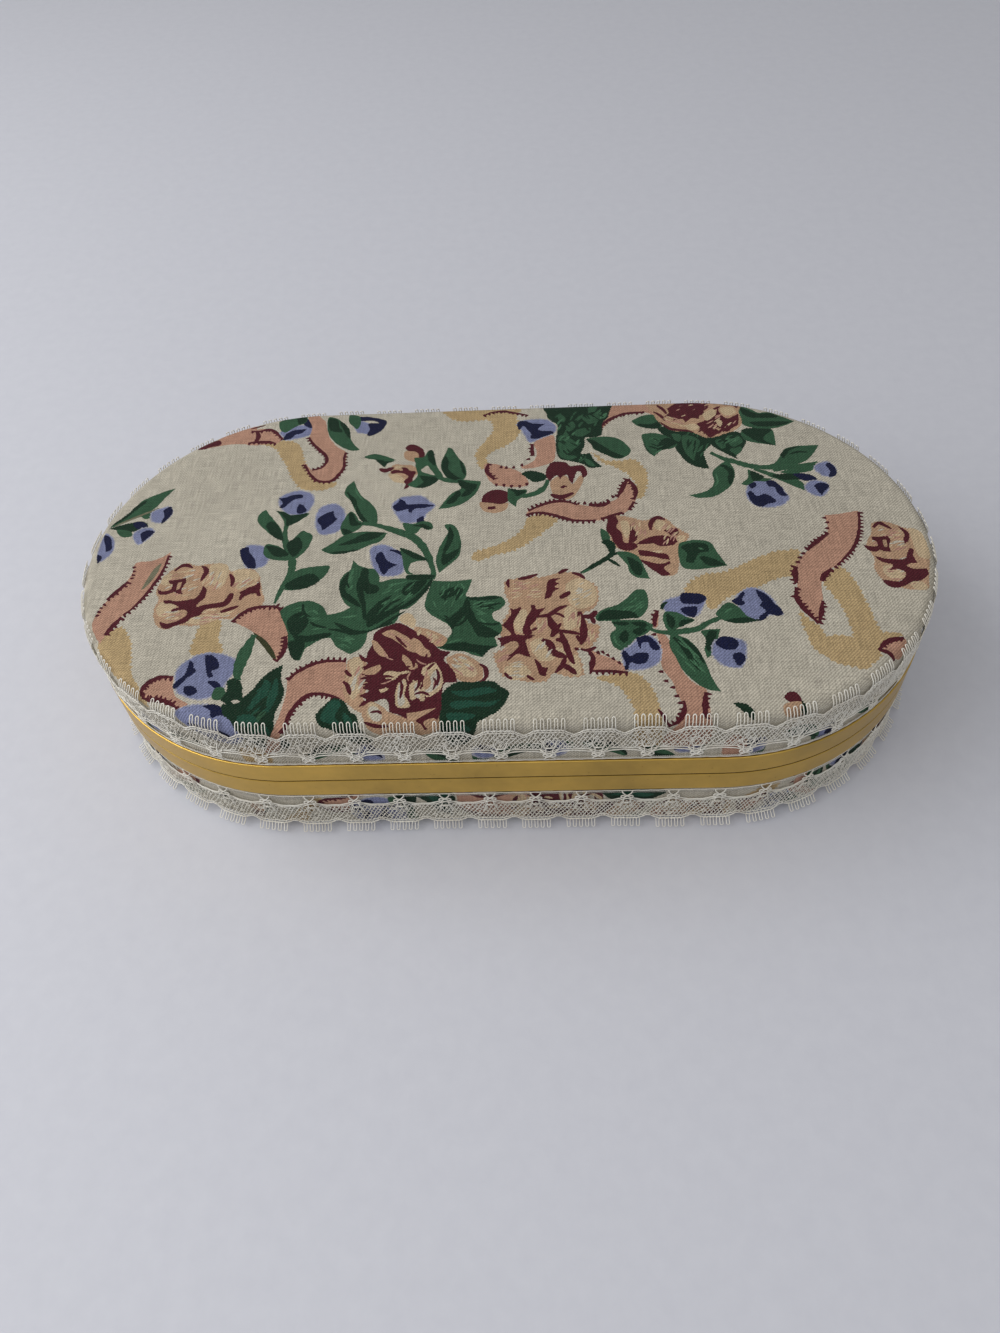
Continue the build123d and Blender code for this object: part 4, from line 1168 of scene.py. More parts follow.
def middle_back(p):
    """The back middle: the long sprig of bellflowers and the small roses."""
    p.panel(-52, 54)
    p.patch("tan", "1000,-60 800,-60 640,-60 560,-10 588,8 628,60 690,91 800,86 832,120 832,180 792,260"
            " 760,320 765,380 790,432 842,452 822,400 811,350 834,320 868,300 910,268 958,200 966,120"
            " 950,60", 9)
    p.frill("788,52 830,30 880,24 935,38 1004,62", -1, 10, tooth=12)
    p.patch("peach", "-20,-60 0,20 30,60 45,120 70,190 110,250 156,290 163,340 152,420 121,480 80,491"
            " 30,471 -10,421 -34,344* -5,390 15,406 50,396 73,350 60,310 20,260 -22,200 -34,176* -30,100"
            " -60,20 -60,-60")
    p.frill("-36,172 -10,220 30,270 63,310 73,350 55,392 12,407", -1, 11, tooth=13)
    p.frill("156,292 152,340 159,390 141,440 115,481 80,489 40,476 5,431 -28,368", 1, 11, tooth=14)
    p.patch("green", "42,28 90,44 131,90 156,130 166,190 191,240 220,276* 180,281 130,251 90,211 60,161"
            " 44,100")
    for text in ("46,34 90,54 101,100 121,141 70,131 48,90", "98,58 141,100 160,150 163,195 130,141"):
        p.patch("green_dark", text)
    p.wash("lilac", "160,70 190,60 240,80 262,120 254,160 220,157 188,141")
    p.patch("navy", "193,28* 240,33 290,48 328,70 322,110 302,146 260,177 240,166 251,130 239,92 250,80"
            " 292,82* 260,62 200,62")
    p.patch("green", "143,10 190,26 202,80 190,122 160,92 143,60")
    p.patch("green", "243,326* 290,309 340,324 394,355* 360,376 345,404* 325,381 300,351 260,341")
    p.patch("green_dark", "298,345 340,359 388,364* 360,377 345,404* 325,382")
    p.patch("petal", "430,300 480,290 506,330 492,371 440,352", 3)
    p.patch("petal", "384,390 440,389 480,400 502,440 482,481 462,512 420,492 378,452", 4)
    p.patch("petal_light", "366,450 420,460 452,512 400,503")
    p.patch("petal_light", "400,394 430,396 420,412 395,412")
    p.stroke("burgundy", "323,410 350,426 388,407", 24, 0.4, 0.3)
    p.patch("burgundy", "431,271 450,249 475,251 511,280 526,320 519,350 500,347 497,321 480,301 455,296"
            " 440,286")
    p.patch("burgundy", "377,430* 400,421 430,430 424,407* 446,410 466,430 492,440 481,480 479,511 460,547"
            " 444,554* 450,521 440,501 460,471 440,451 410,443 384,450")
    p.patch("green", "490,358* 510,400 520,440 560,460 602,480 591,511 550,541 500,547 458,526* 480,501"
            " 500,471 495,430 487,400")
    p.patch("green_dark", "510,469 560,474 602,484 580,521 540,546 500,542 530,511")
    p.patch("green", "478,347 520,341 540,300 561,299 572,350 591,420 612,460 622,502* 590,481 560,431"
            " 540,401 510,421")
    p.patch("green_dark", "544,294 561,299 574,350 577,402 555,381 540,340")
    p.patch("green", "630,278* 650,289 680,350 710,400 721,450 716,492 690,512 650,502 620,461 604,410"
            " 610,350 624,310")
    for text in ("619,338 640,380 640,430 680,480 702,492 660,503 620,462"
            " 607,400", "689,368 712,420 719,472 700,441"):
        p.patch("green_dark", text)
    p.stroke("green", "588,478 640,505 686,516", 20, 0.7, 0.8)
    p.patch("green", "680,499 720,504 788,514* 781,560 756,611 720,652 670,677 606,688* 630,641 660,591"
            " 700,561 690,531")
    for text in ("688,504 750,529 774,540 740,601 700,612 720,571 694,541",
                 "638,652 670,600 691,569 702,600 670,652"):
        p.patch("green_dark", text)
    p.patch("petal", "789,650 830,655 880,664 911,660 902,701 860,722 810,712 789,681")
    p.patch("burgundy", "794,652* 799,610 830,580 870,574 911,595 918,642 880,666 830,656")
    p.stroke("burgundy", "822,688 838,690 856,686", 20, 0.8, 0.8)
    p.wash("lilac", "70,700 90,650 140,634 181,660 201,720 191,790 150,821 100,821 75,771")
    p.patch("navy", "88,715 120,690 146,679* 151,710 167,730* 145,760 110,797 100,771 79,741")
    p.patch("green", "189,760 215,689 240,699 261,740 292,760* 261,801 210,832 189,801")
    for text in ("214,693 236,704 251,745 284,765* 230,772", "193,790 242,811 210,832"):
        p.patch("green_dark", text)
    p.patch("green", "215,486* 235,540 260,590 300,630 336,690 342,764 310,772 270,731 240,681 215,621"
            " 184,580 185,530")
    for text in ("189,560 220,590 241,620 236,662 215,622", "239,640 270,700 312,768 280,752 249,701"):
        p.patch("green_dark", text)
    p.stroke("green_light", "225,530 240,575 270,620", 8)
    p.patch("green", "116,918* 160,880 210,830 270,814 340,814 394,825* 370,871 320,896 270,926 200,942"
            " 160,941")
    for text in ("188,891 240,859 310,819 384,822* 350,851 300,872 240,887",
                 "158,936 220,925 284,919 210,942"):
        p.patch("green_dark", text)
    p.stroke("green", "283,762 340,775 400,800 460,830 510,860 550,910 575,965 590,1010 604,1060"
            " 600,1100", 26, 0.7, 0.7)
    p.wash("lilac", "400,650 430,610 470,599 530,600 570,640 592,666 560,711 540,751 490,771 450,761 420,711")
    p.patch("navy", "402,658* 425,635 430,610* 455,630 470,650 540,651 592,665* 540,677 500,681 492,708*"
            " 475,696 470,681 430,692 414,681")
    p.patch("navy", "518,745 542,728 546,761 520,772")
    p.patch("green", "458,768 500,774 540,760 576,769 590,800 570,817 540,801 520,831 490,837 469,811")
    p.patch("green_dark", "498,785 545,779 583,800 565,813 535,796")
    p.patch("green", "638,789 670,784 696,820 711,880 713,940 701,985 660,1031 628,1068* 611,1000 619,930"
            " 640,870 655,830")
    p.patch("green_dark", "658,799 681,850 671,900 651,960 700,930 709,900 701,960 650,1022 634,1001"
            " 640,930 654,870")
    p.wash("lilac", "328,920 360,894 400,899 460,950 481,1030 461,1071 400,1077 370,1061 344,1010")
    p.patch("navy", "358,946* 380,936 400,976 420,998 453,1013* 420,1034 400,1070* 384,1054 369,1008 354,978")
    p.stroke("navy", "413,926 450,940 478,968", 15, 0.6, 0.3)
    p.patch("green", "453,912* 490,929 540,959 582,994* 530,997 505,1011 500,1050 524,1070* 494,1067"
            " 479,1030 469,980")
    p.patch("green_dark", "453,912* 520,949 582,994* 530,986 480,951")


def right_back(p):
    """The back right: buds, ribbons and the dark cluster of leaves."""
    p.panel(-2, 54)
    p.patch("tan", "440,345 500,400 560,410 620,405 656,440 677,500 672,580 652,640 630,664 614,620 620,560"
            " 590,500 560,470 520,441 465,402", 9)
    p.patch("tan", "146,756 200,738 274,770 240,820 180,880 120,930 60,962 0,975 -60,1004 -94,990 -70,950"
            " -20,930 40,900 90,860 130,810", 9)
    p.patch("peach", "535,-60 530,80 480,150 482,192 520,150 560,105 620,76 700,70 770,92 830,-60")
    p.frill("481,192 500,150 540,110 590,81 640,71 702,70", -1, 12, tooth=12)
    p.patch("peach", "178,270 200,240 262,214 276,260 276,330 262,400 200,431 140,442 118,431 150,411"
            " 180,381 190,330")
    p.frill("172,272 169,310 172,357", -1, 13, tooth=12)
    p.tooth(150, 378, 200)
    p.patch("peach", "-45,400 0,404 60,430 120,470 152,540 112,561 50,556 0,541 -30,501 -45,450")
    p.frill("-28,398 -36,450 0,507", 1, 13, tooth=12)
    for x, y in ((28,424), (52,429), (85,429), (122,416)):
        p.tooth(x, y, 80)
    for x, y in ((8,543), (42,549), (75,556), (112,559), (143,546)):
        p.tooth(x, y, -90)
    p.wash("lilac", "120,170 99,130 120,100 180,94 240,99 282,150 272,200 200,241 160,262 140,221")
    p.patch("navy", "98,132* 110,104 140,104 180,125 233,129* 200,160 210,180 260,185 273,201* 230,221"
            " 190,237 164,231 165,200 150,170 130,140 110,168")
    p.patch("green_dark", "236,-60 240,60 250,100 290,150 280,240 280,340 300,386 340,401 390,421 430,451"
            " 482,446* 450,400 432,349* 390,351 410,300 414,241 450,241 492,221 500,140 532,80 534,-60")
    for text in (
        "408,92 460,70 504,56* 480,121 440,142 420,121",
        "298,252 340,239 372,280 351,331 310,352 289,300",
        "379,181 430,169 442,200 400,231 369,221",
        "329,152 360,119 372,160 340,192",
        "289,331 330,359 374,371 340,392 300,371",
        "300,60 330,90 320,120 296,100",
        "440,20 480,10 470,50 440,50",
        "400,380 430,400 452,440 420,430",
        "320,200 340,196 336,230 316,232",
    ):
        p.patch("green", text)
    cluster = ("240,60 250,100 290,150 280,240 280,340 300,386 340,401 390,421 430,380 390,351 410,300"
            " 414,241 450,241 492,221 500,140 532,80 534,20")
    p.hatch(("green", "green_light", "green"), cluster, 55, 30, 50, 11)
    p.hatch(("green_dark",), cluster, -50, 22, 46, 10)
    p.patch("green", "417,249* 460,239 520,239 570,259 601,300 617,340 602,376 560,397 530,387 490,351"
            " 450,321 440,280")
    p.patch("green_dark", "417,251* 450,259 490,299 540,349 584,381 550,391 510,371 460,331 440,291")
    p.patch("green_dark", "118,476* 150,457 190,464 232,490 221,521 180,532 150,511")
    p.patch("petal", "248,532 280,500 320,499 345,552 380,499 397,515 376,580 340,641 300,652 264,631"
            " 249,580")
    p.patch("burgundy", "229,462 240,430 260,404 290,401 320,409 340,434 380,429 401,439 414,480 405,507"
            " 389,511 388,481 370,471 355,511 345,554* 330,521 325,491 305,496 290,518* 280,491 260,506"
            " 245,533* 231,501")
    p.patch("burgundy", "286,571* 305,559 323,567* 300,579")
    p.stroke("burgundy", "247,616 290,636 348,610", 26, 0.3, 0.3)
    p.stroke("green", "236,518 225,560 190,600 140,620 104,622", 22, 0.6, 0.5)
    p.patch("green", "58,564* 90,579 142,580 130,621 100,651 96,690* 70,661 59,640")
    p.patch("green_dark", "58,564* 110,580 142,589 100,621 89,600")
    p.patch("peach", "136,748* 150,714 200,690 260,665 310,659 360,680 420,696 480,681 530,660 550,620"
            " 570,560 589,532* 611,560 624,620 612,680 592,721 550,752 480,781 400,787 330,777 270,752"
            " 200,731")
    p.frill("148,716 190,690 240,668 300,661 362,684", 1, 11)
    p.tooth(393, 676, 90)
    p.frill("410,688 440,692 470,691 502,678", 1, 15)
    p.tooth(517, 641, 120)
    p.frill("534,647 555,610 570,570 589,533", 1, 14)
    p.frill("589,533 613,580 619,630 604,668", -1, 13, tooth=12)
    p.frill("604,678 596,700 578,730", 1, 9)
    p.frill("138,742 180,728 240,739 300,766 350,783 436,786", -1, 11)
    p.frill("458,776 500,766 552,744", -1, 14)
    p.patch("petal", "518,764 570,770 640,796 700,775 740,800 776,850 817,890 802,930 772,960 766,1000"
            " 762,1060 744,1110 710,1118 660,1092 620,1042 590,1002 560,982 530,962 498,932 489,880 479,840"
            " 489,790", 5)
    p.patch("petal_light", "540,800 570,800 575,850 560,900 545,860")
    p.patch("petal_light", "690,800 720,805 735,840 700,860 680,840")
    p.patch("petal_light", "770,900 805,895 790,930 775,950")
    p.patch("petal_light", "640,980 700,975 690,990 640,985")
    for text in (
        "489,764* 522,764* 531,800 520,830 541,870 546,920 592,930 602,951* 570,971 530,962 504,920 494,880"
        " 477,850 484,800",
        "580,818* 596,850 606,890 590,922 564,932* 570,890",
        "718,860 770,849 777,880 761,900 767,931 735,942 700,937 680,927 650,937 598,937* 610,920 650,899"
        " 700,889 741,896 739,880",
        "600,968* 640,975 680,989 718,999 727,1032* 700,1026 660,1011 610,1001",
        "598,1018* 660,1045 700,1050 722,1038* 727,1050 700,1070 706,1090 724,1112* 690,1118 660,1092"
        " 630,1061",
        "658,916* 720,934 762,930* 750,946 700,952 670,936",
    ):
        p.patch("burgundy", text)
    p.hatch(("petal_light", "blush"), "690,800 760,820 800,900 760,990 700,960", 60, 14, 40, 8)
    p.hatch(("petal_light", "blush"), "540,780 640,810 650,900 600,900 560,860", 70, 10, 40, 8)
    p.stroke("burgundy", "663,856 668,812 694,782 728,796", 22, 0.5, 0.3)
    p.patch("green", "453,838 480,859 491,900 480,930 456,905")
    p.patch("green_dark", "453,912 490,904 512,950 492,1000 470,942")


def back_rose(p):
    """The rose at the back edge in its ring of dark leaves, and the sprig below it."""
    p.panel(50, 54)
    p.patch("green_dark", "-128,188 -60,180 60,200 120,268* 100,320 60,380 71,488* 20,471 -20,441 -50,381"
            " -65,341 -64,290 -112,240")
    p.patch("green", "-22,250 20,259 51,300 22,380 10,432* -20,381 -31,310")
    p.patch("green", "-70,236 -30,246 -40,290 -60,284")
    p.patch("green", "-249,130* -204,100 -164,90 -124,100 -104,150 -124,192 -184,186 -224,166")
    p.patch("green_dark", "-224,156 -164,160 -114,140 -124,192 -184,186")
    p.patch("green", "-210,240 -184,224 -134,229 -84,260 -54,310 -84,341 -124,346 -144,361 -164,390*"
            " -194,351 -204,300")
    for text in ("-154,382* -144,320 -114,270 -84,265 -54,300 -104,341"
            " -134,351", "-206,300 -184,350 -168,384* -194,341"):
        p.patch("green_dark", text)
    p.hatch(("green_light", "green"), "-204,250 -84,262 -84,341 -164,390", 35, 9, 40, 8)
    p.hatch(("green_dark",), "-204,250 -84,262 -84,341 -164,390", -40, 8, 40, 8)
    p.hatch(("green",), "-64,200 60,215 100,290 40,440 -40,380 -60,300", 60, 14, 50, 9)
    p.hatch(("green_dark",), "-22,250 51,300 10,420 -31,310", 70, 7, 50, 9)
    p.patch("green_dark", "98,280 160,239 232,239 262,290 242,350 202,402 206,428* 160,391 110,341 94,300")
    for text in ("178,268 232,269 242,310 201,342 179,320", "118,300 150,289 162,340 140,352",
                 "178,362 222,339 232,370 200,402*"):
        p.patch("green", text)
    p.hatch(("green_dark", "green_light"), "110,290 232,250 242,330 190,390", 25, 12, 44, 9)
    p.patch("green", "248,236 300,229 386,224 389,341* 330,326 280,311 249,290")
    p.patch("green_dark", "248,229 330,209 386,229 350,271 341,301 389,341* 330,321 290,291")
    p.patch("green", "262,40 320,80 350,104 400,99 441,130 504,173* 450,202 390,221 320,216 265,191 249,130")
    for text in ("268,62 340,109 400,109 431,140 330,141 280,121",
                 "298,171 400,169 496,175* 420,202 330,202"):
        p.patch("green_dark", text)
    p.patch("petal", "-150,-60 -142,90 -112,160 -60,214 0,221 40,241 80,272 120,271 170,251 231,221 261,170"
            " 256,100 262,-60", 5)
    p.patch("burgundy", "-96,110* -70,84 -74,50* -40,20 0,-20 60,-10 104,40 92,80 110,104* 74,112 66,140*"
            " 34,128 4,156* -14,130 -52,142* -58,118")
    p.patch("burgundy", "49,170* 90,150 110,120 150,100 161,40* 172,110 200,140 253,106* 242,180 201,221"
            " 180,237 150,201 161,169* 130,191 141,240 100,273 80,241 60,211")
    p.patch("burgundy", "170,-40 262,-40 256,60 230,40 190,30")
    p.stroke("burgundy", "-114,150 -70,200 0,216 30,232", 15, 0.5, 0.3)
    p.stroke("burgundy", "-140,70 -110,100 -92,140", 14, 0.5, 0.3)
    p.stroke("burgundy", "-120,20 -90,60 -80,90", 16, 0.5, 0.3)
    p.hatch(("blush", "petal_light"), "-50,40 60,20 90,70 20,120 -40,110", 25, 5, 34, 7)
    p.hatch(("petal_light", "blush"), "-130,60 -60,100 0,160 60,230 20,220 -100,160", -30, 12, 44, 8)
    p.hatch(("petal_light", "blush"), "80,120 150,100 240,110 250,160 190,220 90,250", 40, 16, 44, 8)
    p.hatch(("burgundy",), "-60,-20 60,-20 230,-20 240,60 100,90 0,80", 40, 22, 50, 12)
    p.hatch(("burgundy",), "-40,140 60,170 200,160 240,190 180,236 100,262 20,220", 50, 16, 44, 13)
    for text in ("89,100 130,69 151,80 140,120 100,152", "179,60 232,59 242,100 200,121 175,90",
                 "-2,180 40,169 62,200 20,216",
                 "146,150 170,160 160,200 146,190"):
        p.patch("petal_light", text)
    p.stroke("green", "88,378 140,420 190,445 250,475 330,490 404,502", 24, 0.6, 0.5)
    p.patch("green", "248,478 330,470 370,450 420,370 470,350 530,345 580,344* 546,400 500,451 430,482"
            " 350,497")
    p.patch("green_dark", "398,402 430,364 502,349* 440,381 410,431")
    p.stroke("green_dark", "438,402 480,388 520,392", 12, 0.4, 0.2)
    p.stroke("green", "266,496 340,540 400,580 466,636", 22, 0.7, 0.4)
    p.stroke("green", "348,512 430,490 500,475 552,458", 17, 0.7, 0.4)
    p.patch("green", "150,438 173,470 177,520 161,580 120,631 60,667 0,668 -40,650* 20,636 60,611 80,571"
            " 80,510 110,470")
    p.patch("green_dark", "118,459 165,479 174,530 150,592 139,560 150,510")
    p.stroke("green_light", "95,520 96,570 80,600", 9)
    p.wash("lilac", "208,640 230,590 290,569 340,580 371,640 387,690 350,731 300,742 250,736 214,701")
    for text in (
        "213,650* 230,639 250,669 290,659 320,689 326,712 290,722 265,737 240,731 219,701",
        "303,580* 335,574 366,620 371,650 386,671* 360,677 340,651 335,621 310,611",
        "226,590 255,584 256,610 235,622",
    ):
        p.patch("navy", text)
    p.patch("green", "238,498 280,540 310,560 344,558* 300,581 260,576 220,602 192,592* 230,551")
    p.patch("green_dark", "248,508 300,550 250,577")
    p.patch("green", "376,568 440,569 472,620 462,642 400,602")
    p.patch("green_dark", "338,540 430,529 500,540 532,575* 490,582 440,572 380,572")
    p.patch("navy", "430,534 500,540 528,574 470,581")
    p.wash("lilac", "465,620 500,580 550,589 571,620 551,661 520,682 480,661")
    p.patch("navy", "508,610 540,594 572,614 545,651 530,676* 514,641")
    p.patch("green", "376,522 450,490 542,459* 532,501 500,521 430,532")
    p.wash("lilac", "530,490 560,465 600,459 624,510 602,557 560,552 535,521")
    p.patch("navy", "583,480 605,466 624,514 611,552 583,557 595,520")


PANELS = (left_back, middle_back, right_back, right_end, front_right, left_front, front_middle, back_rose)


def wall_motifs(p):
    """What falls on the walls only, and is seen through the lace."""
    p.panel(-120, 75)
    for x, y, size, angle in (
        (1530, 2363, 61, 30), (2244, 2346, 58, 200), (3009, 2363, 61, 120), (544, 2159, 61, 10),
        (3706, 1921, 58, 80),
        (3910, 1615, 61, 80), (136, 935, 58, 0), (2380, 187, 61, 40), (1700, 204, 58, 160),
        (3740, 663, 61, 200),
        (1972, 2366, 54, 60), (2740, 2352, 56, 150), (3360, 2300, 56, 30),
    ):
        p.bell(x, y, size, angle)
    for text, width, dark in (
        ("1292,2397 1377,2329 1462,2312", 68, 1), ("2006,2414 2108,2346 2210,2329", 68, -1),
        ("2346,2312 2448,2346 2516,2414", 68, 1), ("3128,2295 3230,2278 3332,2329", 75, -1),
        ("3468,2159 3570,2159 3672,2091", 75, 1), ("816,2295 714,2244 612,2227", 68, -1),
        ("3808,1785 3859,1683 3859,1564", 68, 1), ("3944,1207 3944,1105 3910,1003", 68, 1),
        ("3672,527 3570,442 3468,408", 68, -1), ("3060,187 2924,221 2788,204", 68, 1),
        ("2176,204 2074,238 1938,221", 68, -1), ("1598,221 1496,238 1394,204", 68, 1),
        ("816,272 714,340 612,357", 68, -1), ("272,731 187,833 153,952", 68, 1),
        ("68,1207 102,1343 136,1479", 68, -1),
        ("204,1649 272,1785 357,1887", 68, 1), ("1750,2330 1800,2400 1880,2430", 64, 1),
        ("2580,2320 2620,2390 2700,2420", 64, -1),
    ):
        p.leaf(text, width, dark)
    p.patch("peach", "2890,2300 2960,2310 2975,2430 2880,2430", 4)
    p.patch("tan", "1010,2310 1120,2330 1130,2430 1010,2420", 8)


def lid_print():
    p = Print(3)
    wall_motifs(p)
    for draw in PANELS:
        draw(p)
    return p.shapes


def base_print():
    """The same cloth, cut from another place: the lid's motifs moved along."""
    p = Print(8)
    for shift in ((36, -20), (-70, 19), (24, 29), (-126, -7), (124, 5)):
        p.offset = Vector(shift)
        for draw in PANELS:
            draw(p)
    return p.shapes


# Cloth
RING_STEP = 1.1


def cloth_skin(name, pan, shapes, start, rings, grid, puff, material="print"):
    """A cloth skin from the flat cloth's reach start to the pan's end, cut along every printed edge."""
    corners = []
    edges = []
    faces = []

    def add_ring(rho, as_face):
        points = loop(rho, RING_STEP)
        first = len(corners)
        corners.extend(Vector(p) for p in points)
        if as_face:
            faces.append(list(range(first, first + len(points))))
        else:
            edges.extend((first + i, first + (i + 1) % len(points)) for i in range(len(points)))

    add_ring(pan.end, True)
    if start:
        add_ring(start, True)
    for rho in rings:
        if start < rho < pan.end:
            add_ring(rho, False)
    if grid:
        across = int((SPINE + pan.flat) / grid)
        up = int(pan.flat / grid)
        for i in range(-across, across + 1):
            for j in range(-up, up + 1):
                corners.append(Vector((i * grid, j * grid)))
    printed = []
    for ink, outline in shapes:
        reach = [math.hypot(max(abs(q.x) - SPINE, 0), q.y) for q in outline]
        if min(reach) > pan.end + 1 or max(reach) < start - 1:
            continue
        printed.append((ink, outline))
        first = len(corners)
        count = len(outline)
        corners.extend(outline)
        edges.extend((first + i, first + (i + 1) % count) for i in range(count))
    flat, _, triangles, _, _, owners = delaunay_2d_cdt(corners, edges, faces, 1, 0.002, True)
    kept = [t for t, owner in zip(triangles, owners) if 0 in owner and not (start and 1 in owner)]
    middles = np.array([[sum(flat[i].x for i in t) / 3, sum(flat[i].y for i in t) / 3] for t in kept])
    inked = np.zeros((len(kept), 4), np.float32)
    inked[:] = rgba(INKS["ground"])
    for ink, outline in printed:
        inked[under(outline, middles)] = rgba(INKS[ink])
    colours = np.repeat(inked, 3, axis=0).ravel()
    if pan.way < 0:
        kept = [t[::-1] for t in kept]
    used = sorted({i for t in kept for i in t})
    index = {old: new for new, old in enumerate(used)}
    spots = [pan.place(flat[i].x, flat[i].y, puff) for i in used]
    mesh = bpy.data.meshes.new(name)
    mesh.from_pydata([p * MM for p, _ in spots], [], [[index[i] for i in t] for t in kept])
    mesh.shade_smooth()
    mesh.attributes.new("ink", "FLOAT_COLOR", "CORNER").data.foreach_set("color", colours)
    cloth = [c for i in used for c in (flat[i].x, flat[i].y, 0.0)]
    mesh.attributes.new("cloth", "FLOAT_VECTOR", "POINT").data.foreach_set("vector", cloth)
    mesh.normals_split_custom_set_from_vertices([n for _, n in spots])
    mesh.materials.append(MATERIALS[material])
    return new_object(name, mesh)


def new_object(name, mesh):
    thing = bpy.data.objects.new(name, mesh)
    bpy.context.scene.collection.objects.link(thing)
    return thing


def turn_rings(pan, shares):
    """Where a skin is cut along its rounded edge."""
    return [pan.flat + (pan.turned - pan.flat) * share for share in shares]


def make_covers():
    pan = LID_PAN
    rings = turn_rings(pan, (0, 0.2, 0.4, 0.6, 0.8, 1))
    lid = cloth_skin("lid_cloth", pan, lid_print(), 0, rings, 3.0, 0.16)
    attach(lid, "lid")
    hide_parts("lid_cover", "lid_padding")

    pan = BASE_PAN
    under_turn = 4.0
    rings = turn_rings(pan, (0, 0.25, 0.5, 0.75, 1))
    base = cloth_skin("base_cloth", pan, base_print(), pan.flat - under_turn, rings, 0, 0)
    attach(base, "root")
    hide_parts("base_cover")


# Lace
LACE_REPEATS = 50
LACE_WIDTH = 14.4
CREST = 12.0  # of the groups of loops
VALLEY = 10.4  # of the edge between the groups, on the lid
BASE_VALLEY = 10.9  # on the base, where the edge hangs slack between the groups
BACK_SLACK = 0.06  # share by which the lid's lace is drawn up less at the back
NET_FOOT = 4.5
LOOPS = 5  # in a group
LOOP_PITCH = 1.5
LOOP_HALF = 0.36  # half the width of a loop
BEND_START = 11.5  # below the base's rim, where its lace begins to lean outwards
BEND_RADIUS = 3.8


def perimeter():
    return 4 * SPINE + 2 * math.pi * COVER_REACH


class Threads:
    """Tubes gathered into one mesh, in flat lace coordinates: along, up and off the cloth."""

    def __init__(self):
        self.points = []
        self.faces = []

    def tube(self, path, radius, closed=False, sides=4, capped=True):
        count = len(path)
        first = len(self.points)
        for i, p in enumerate(path):
            before = path[i - 1] if closed or i else path[0]
            after = path[(i + 1) % count] if closed or i + 1 < count else path[-1]
            run = (Vector(after) - Vector(before)).normalized()
            side = run.cross(Vector((0, 0, 1)))
            side = side.normalized() if side.length > 1e-6 else Vector((1, 0, 0))
            lift = side.cross(run)
            for k in range(sides):
                turn = 2 * math.pi * (k + 0.5) / sides
                self.points.append(
                    Vector(p) + side * (radius * math.cos(turn)) + lift * (radius * math.sin(turn))
                )
        for i in range(count if closed else count - 1):
            a = first + i * sides
            b = first + ((i + 1) % count) * sides
            for k in range(sides):
                m = (k + 1) % sides
                self.faces.append((a + k, a + m, b + m, b + k))
        if capped and not closed:
            self.faces.append(tuple(first + k for k in range(sides))[::-1])
            self.faces.append(tuple(first + (count - 1) * sides + k for k in range(sides)))


def ring(x, y, wide, tall, lift, steps=8):
    """A closed ring of thread, as places for a tube."""
    turns = (2 * math.pi * k / steps for k in range(steps))
    return [(x + wide * math.cos(a), y + tall * math.sin(a), lift) for a in turns]


def crest(x, repeat, valley):
    """The lace's edge: level over each post, and down in a valley half way between posts."""
    away = abs((x / repeat + 0.5) % 1.0 - 0.5) * 2
    dip = min(1.0, max(0.0, (away - 0.50) / 0.44))
    return CREST - (CREST - valley) * dip**1.3


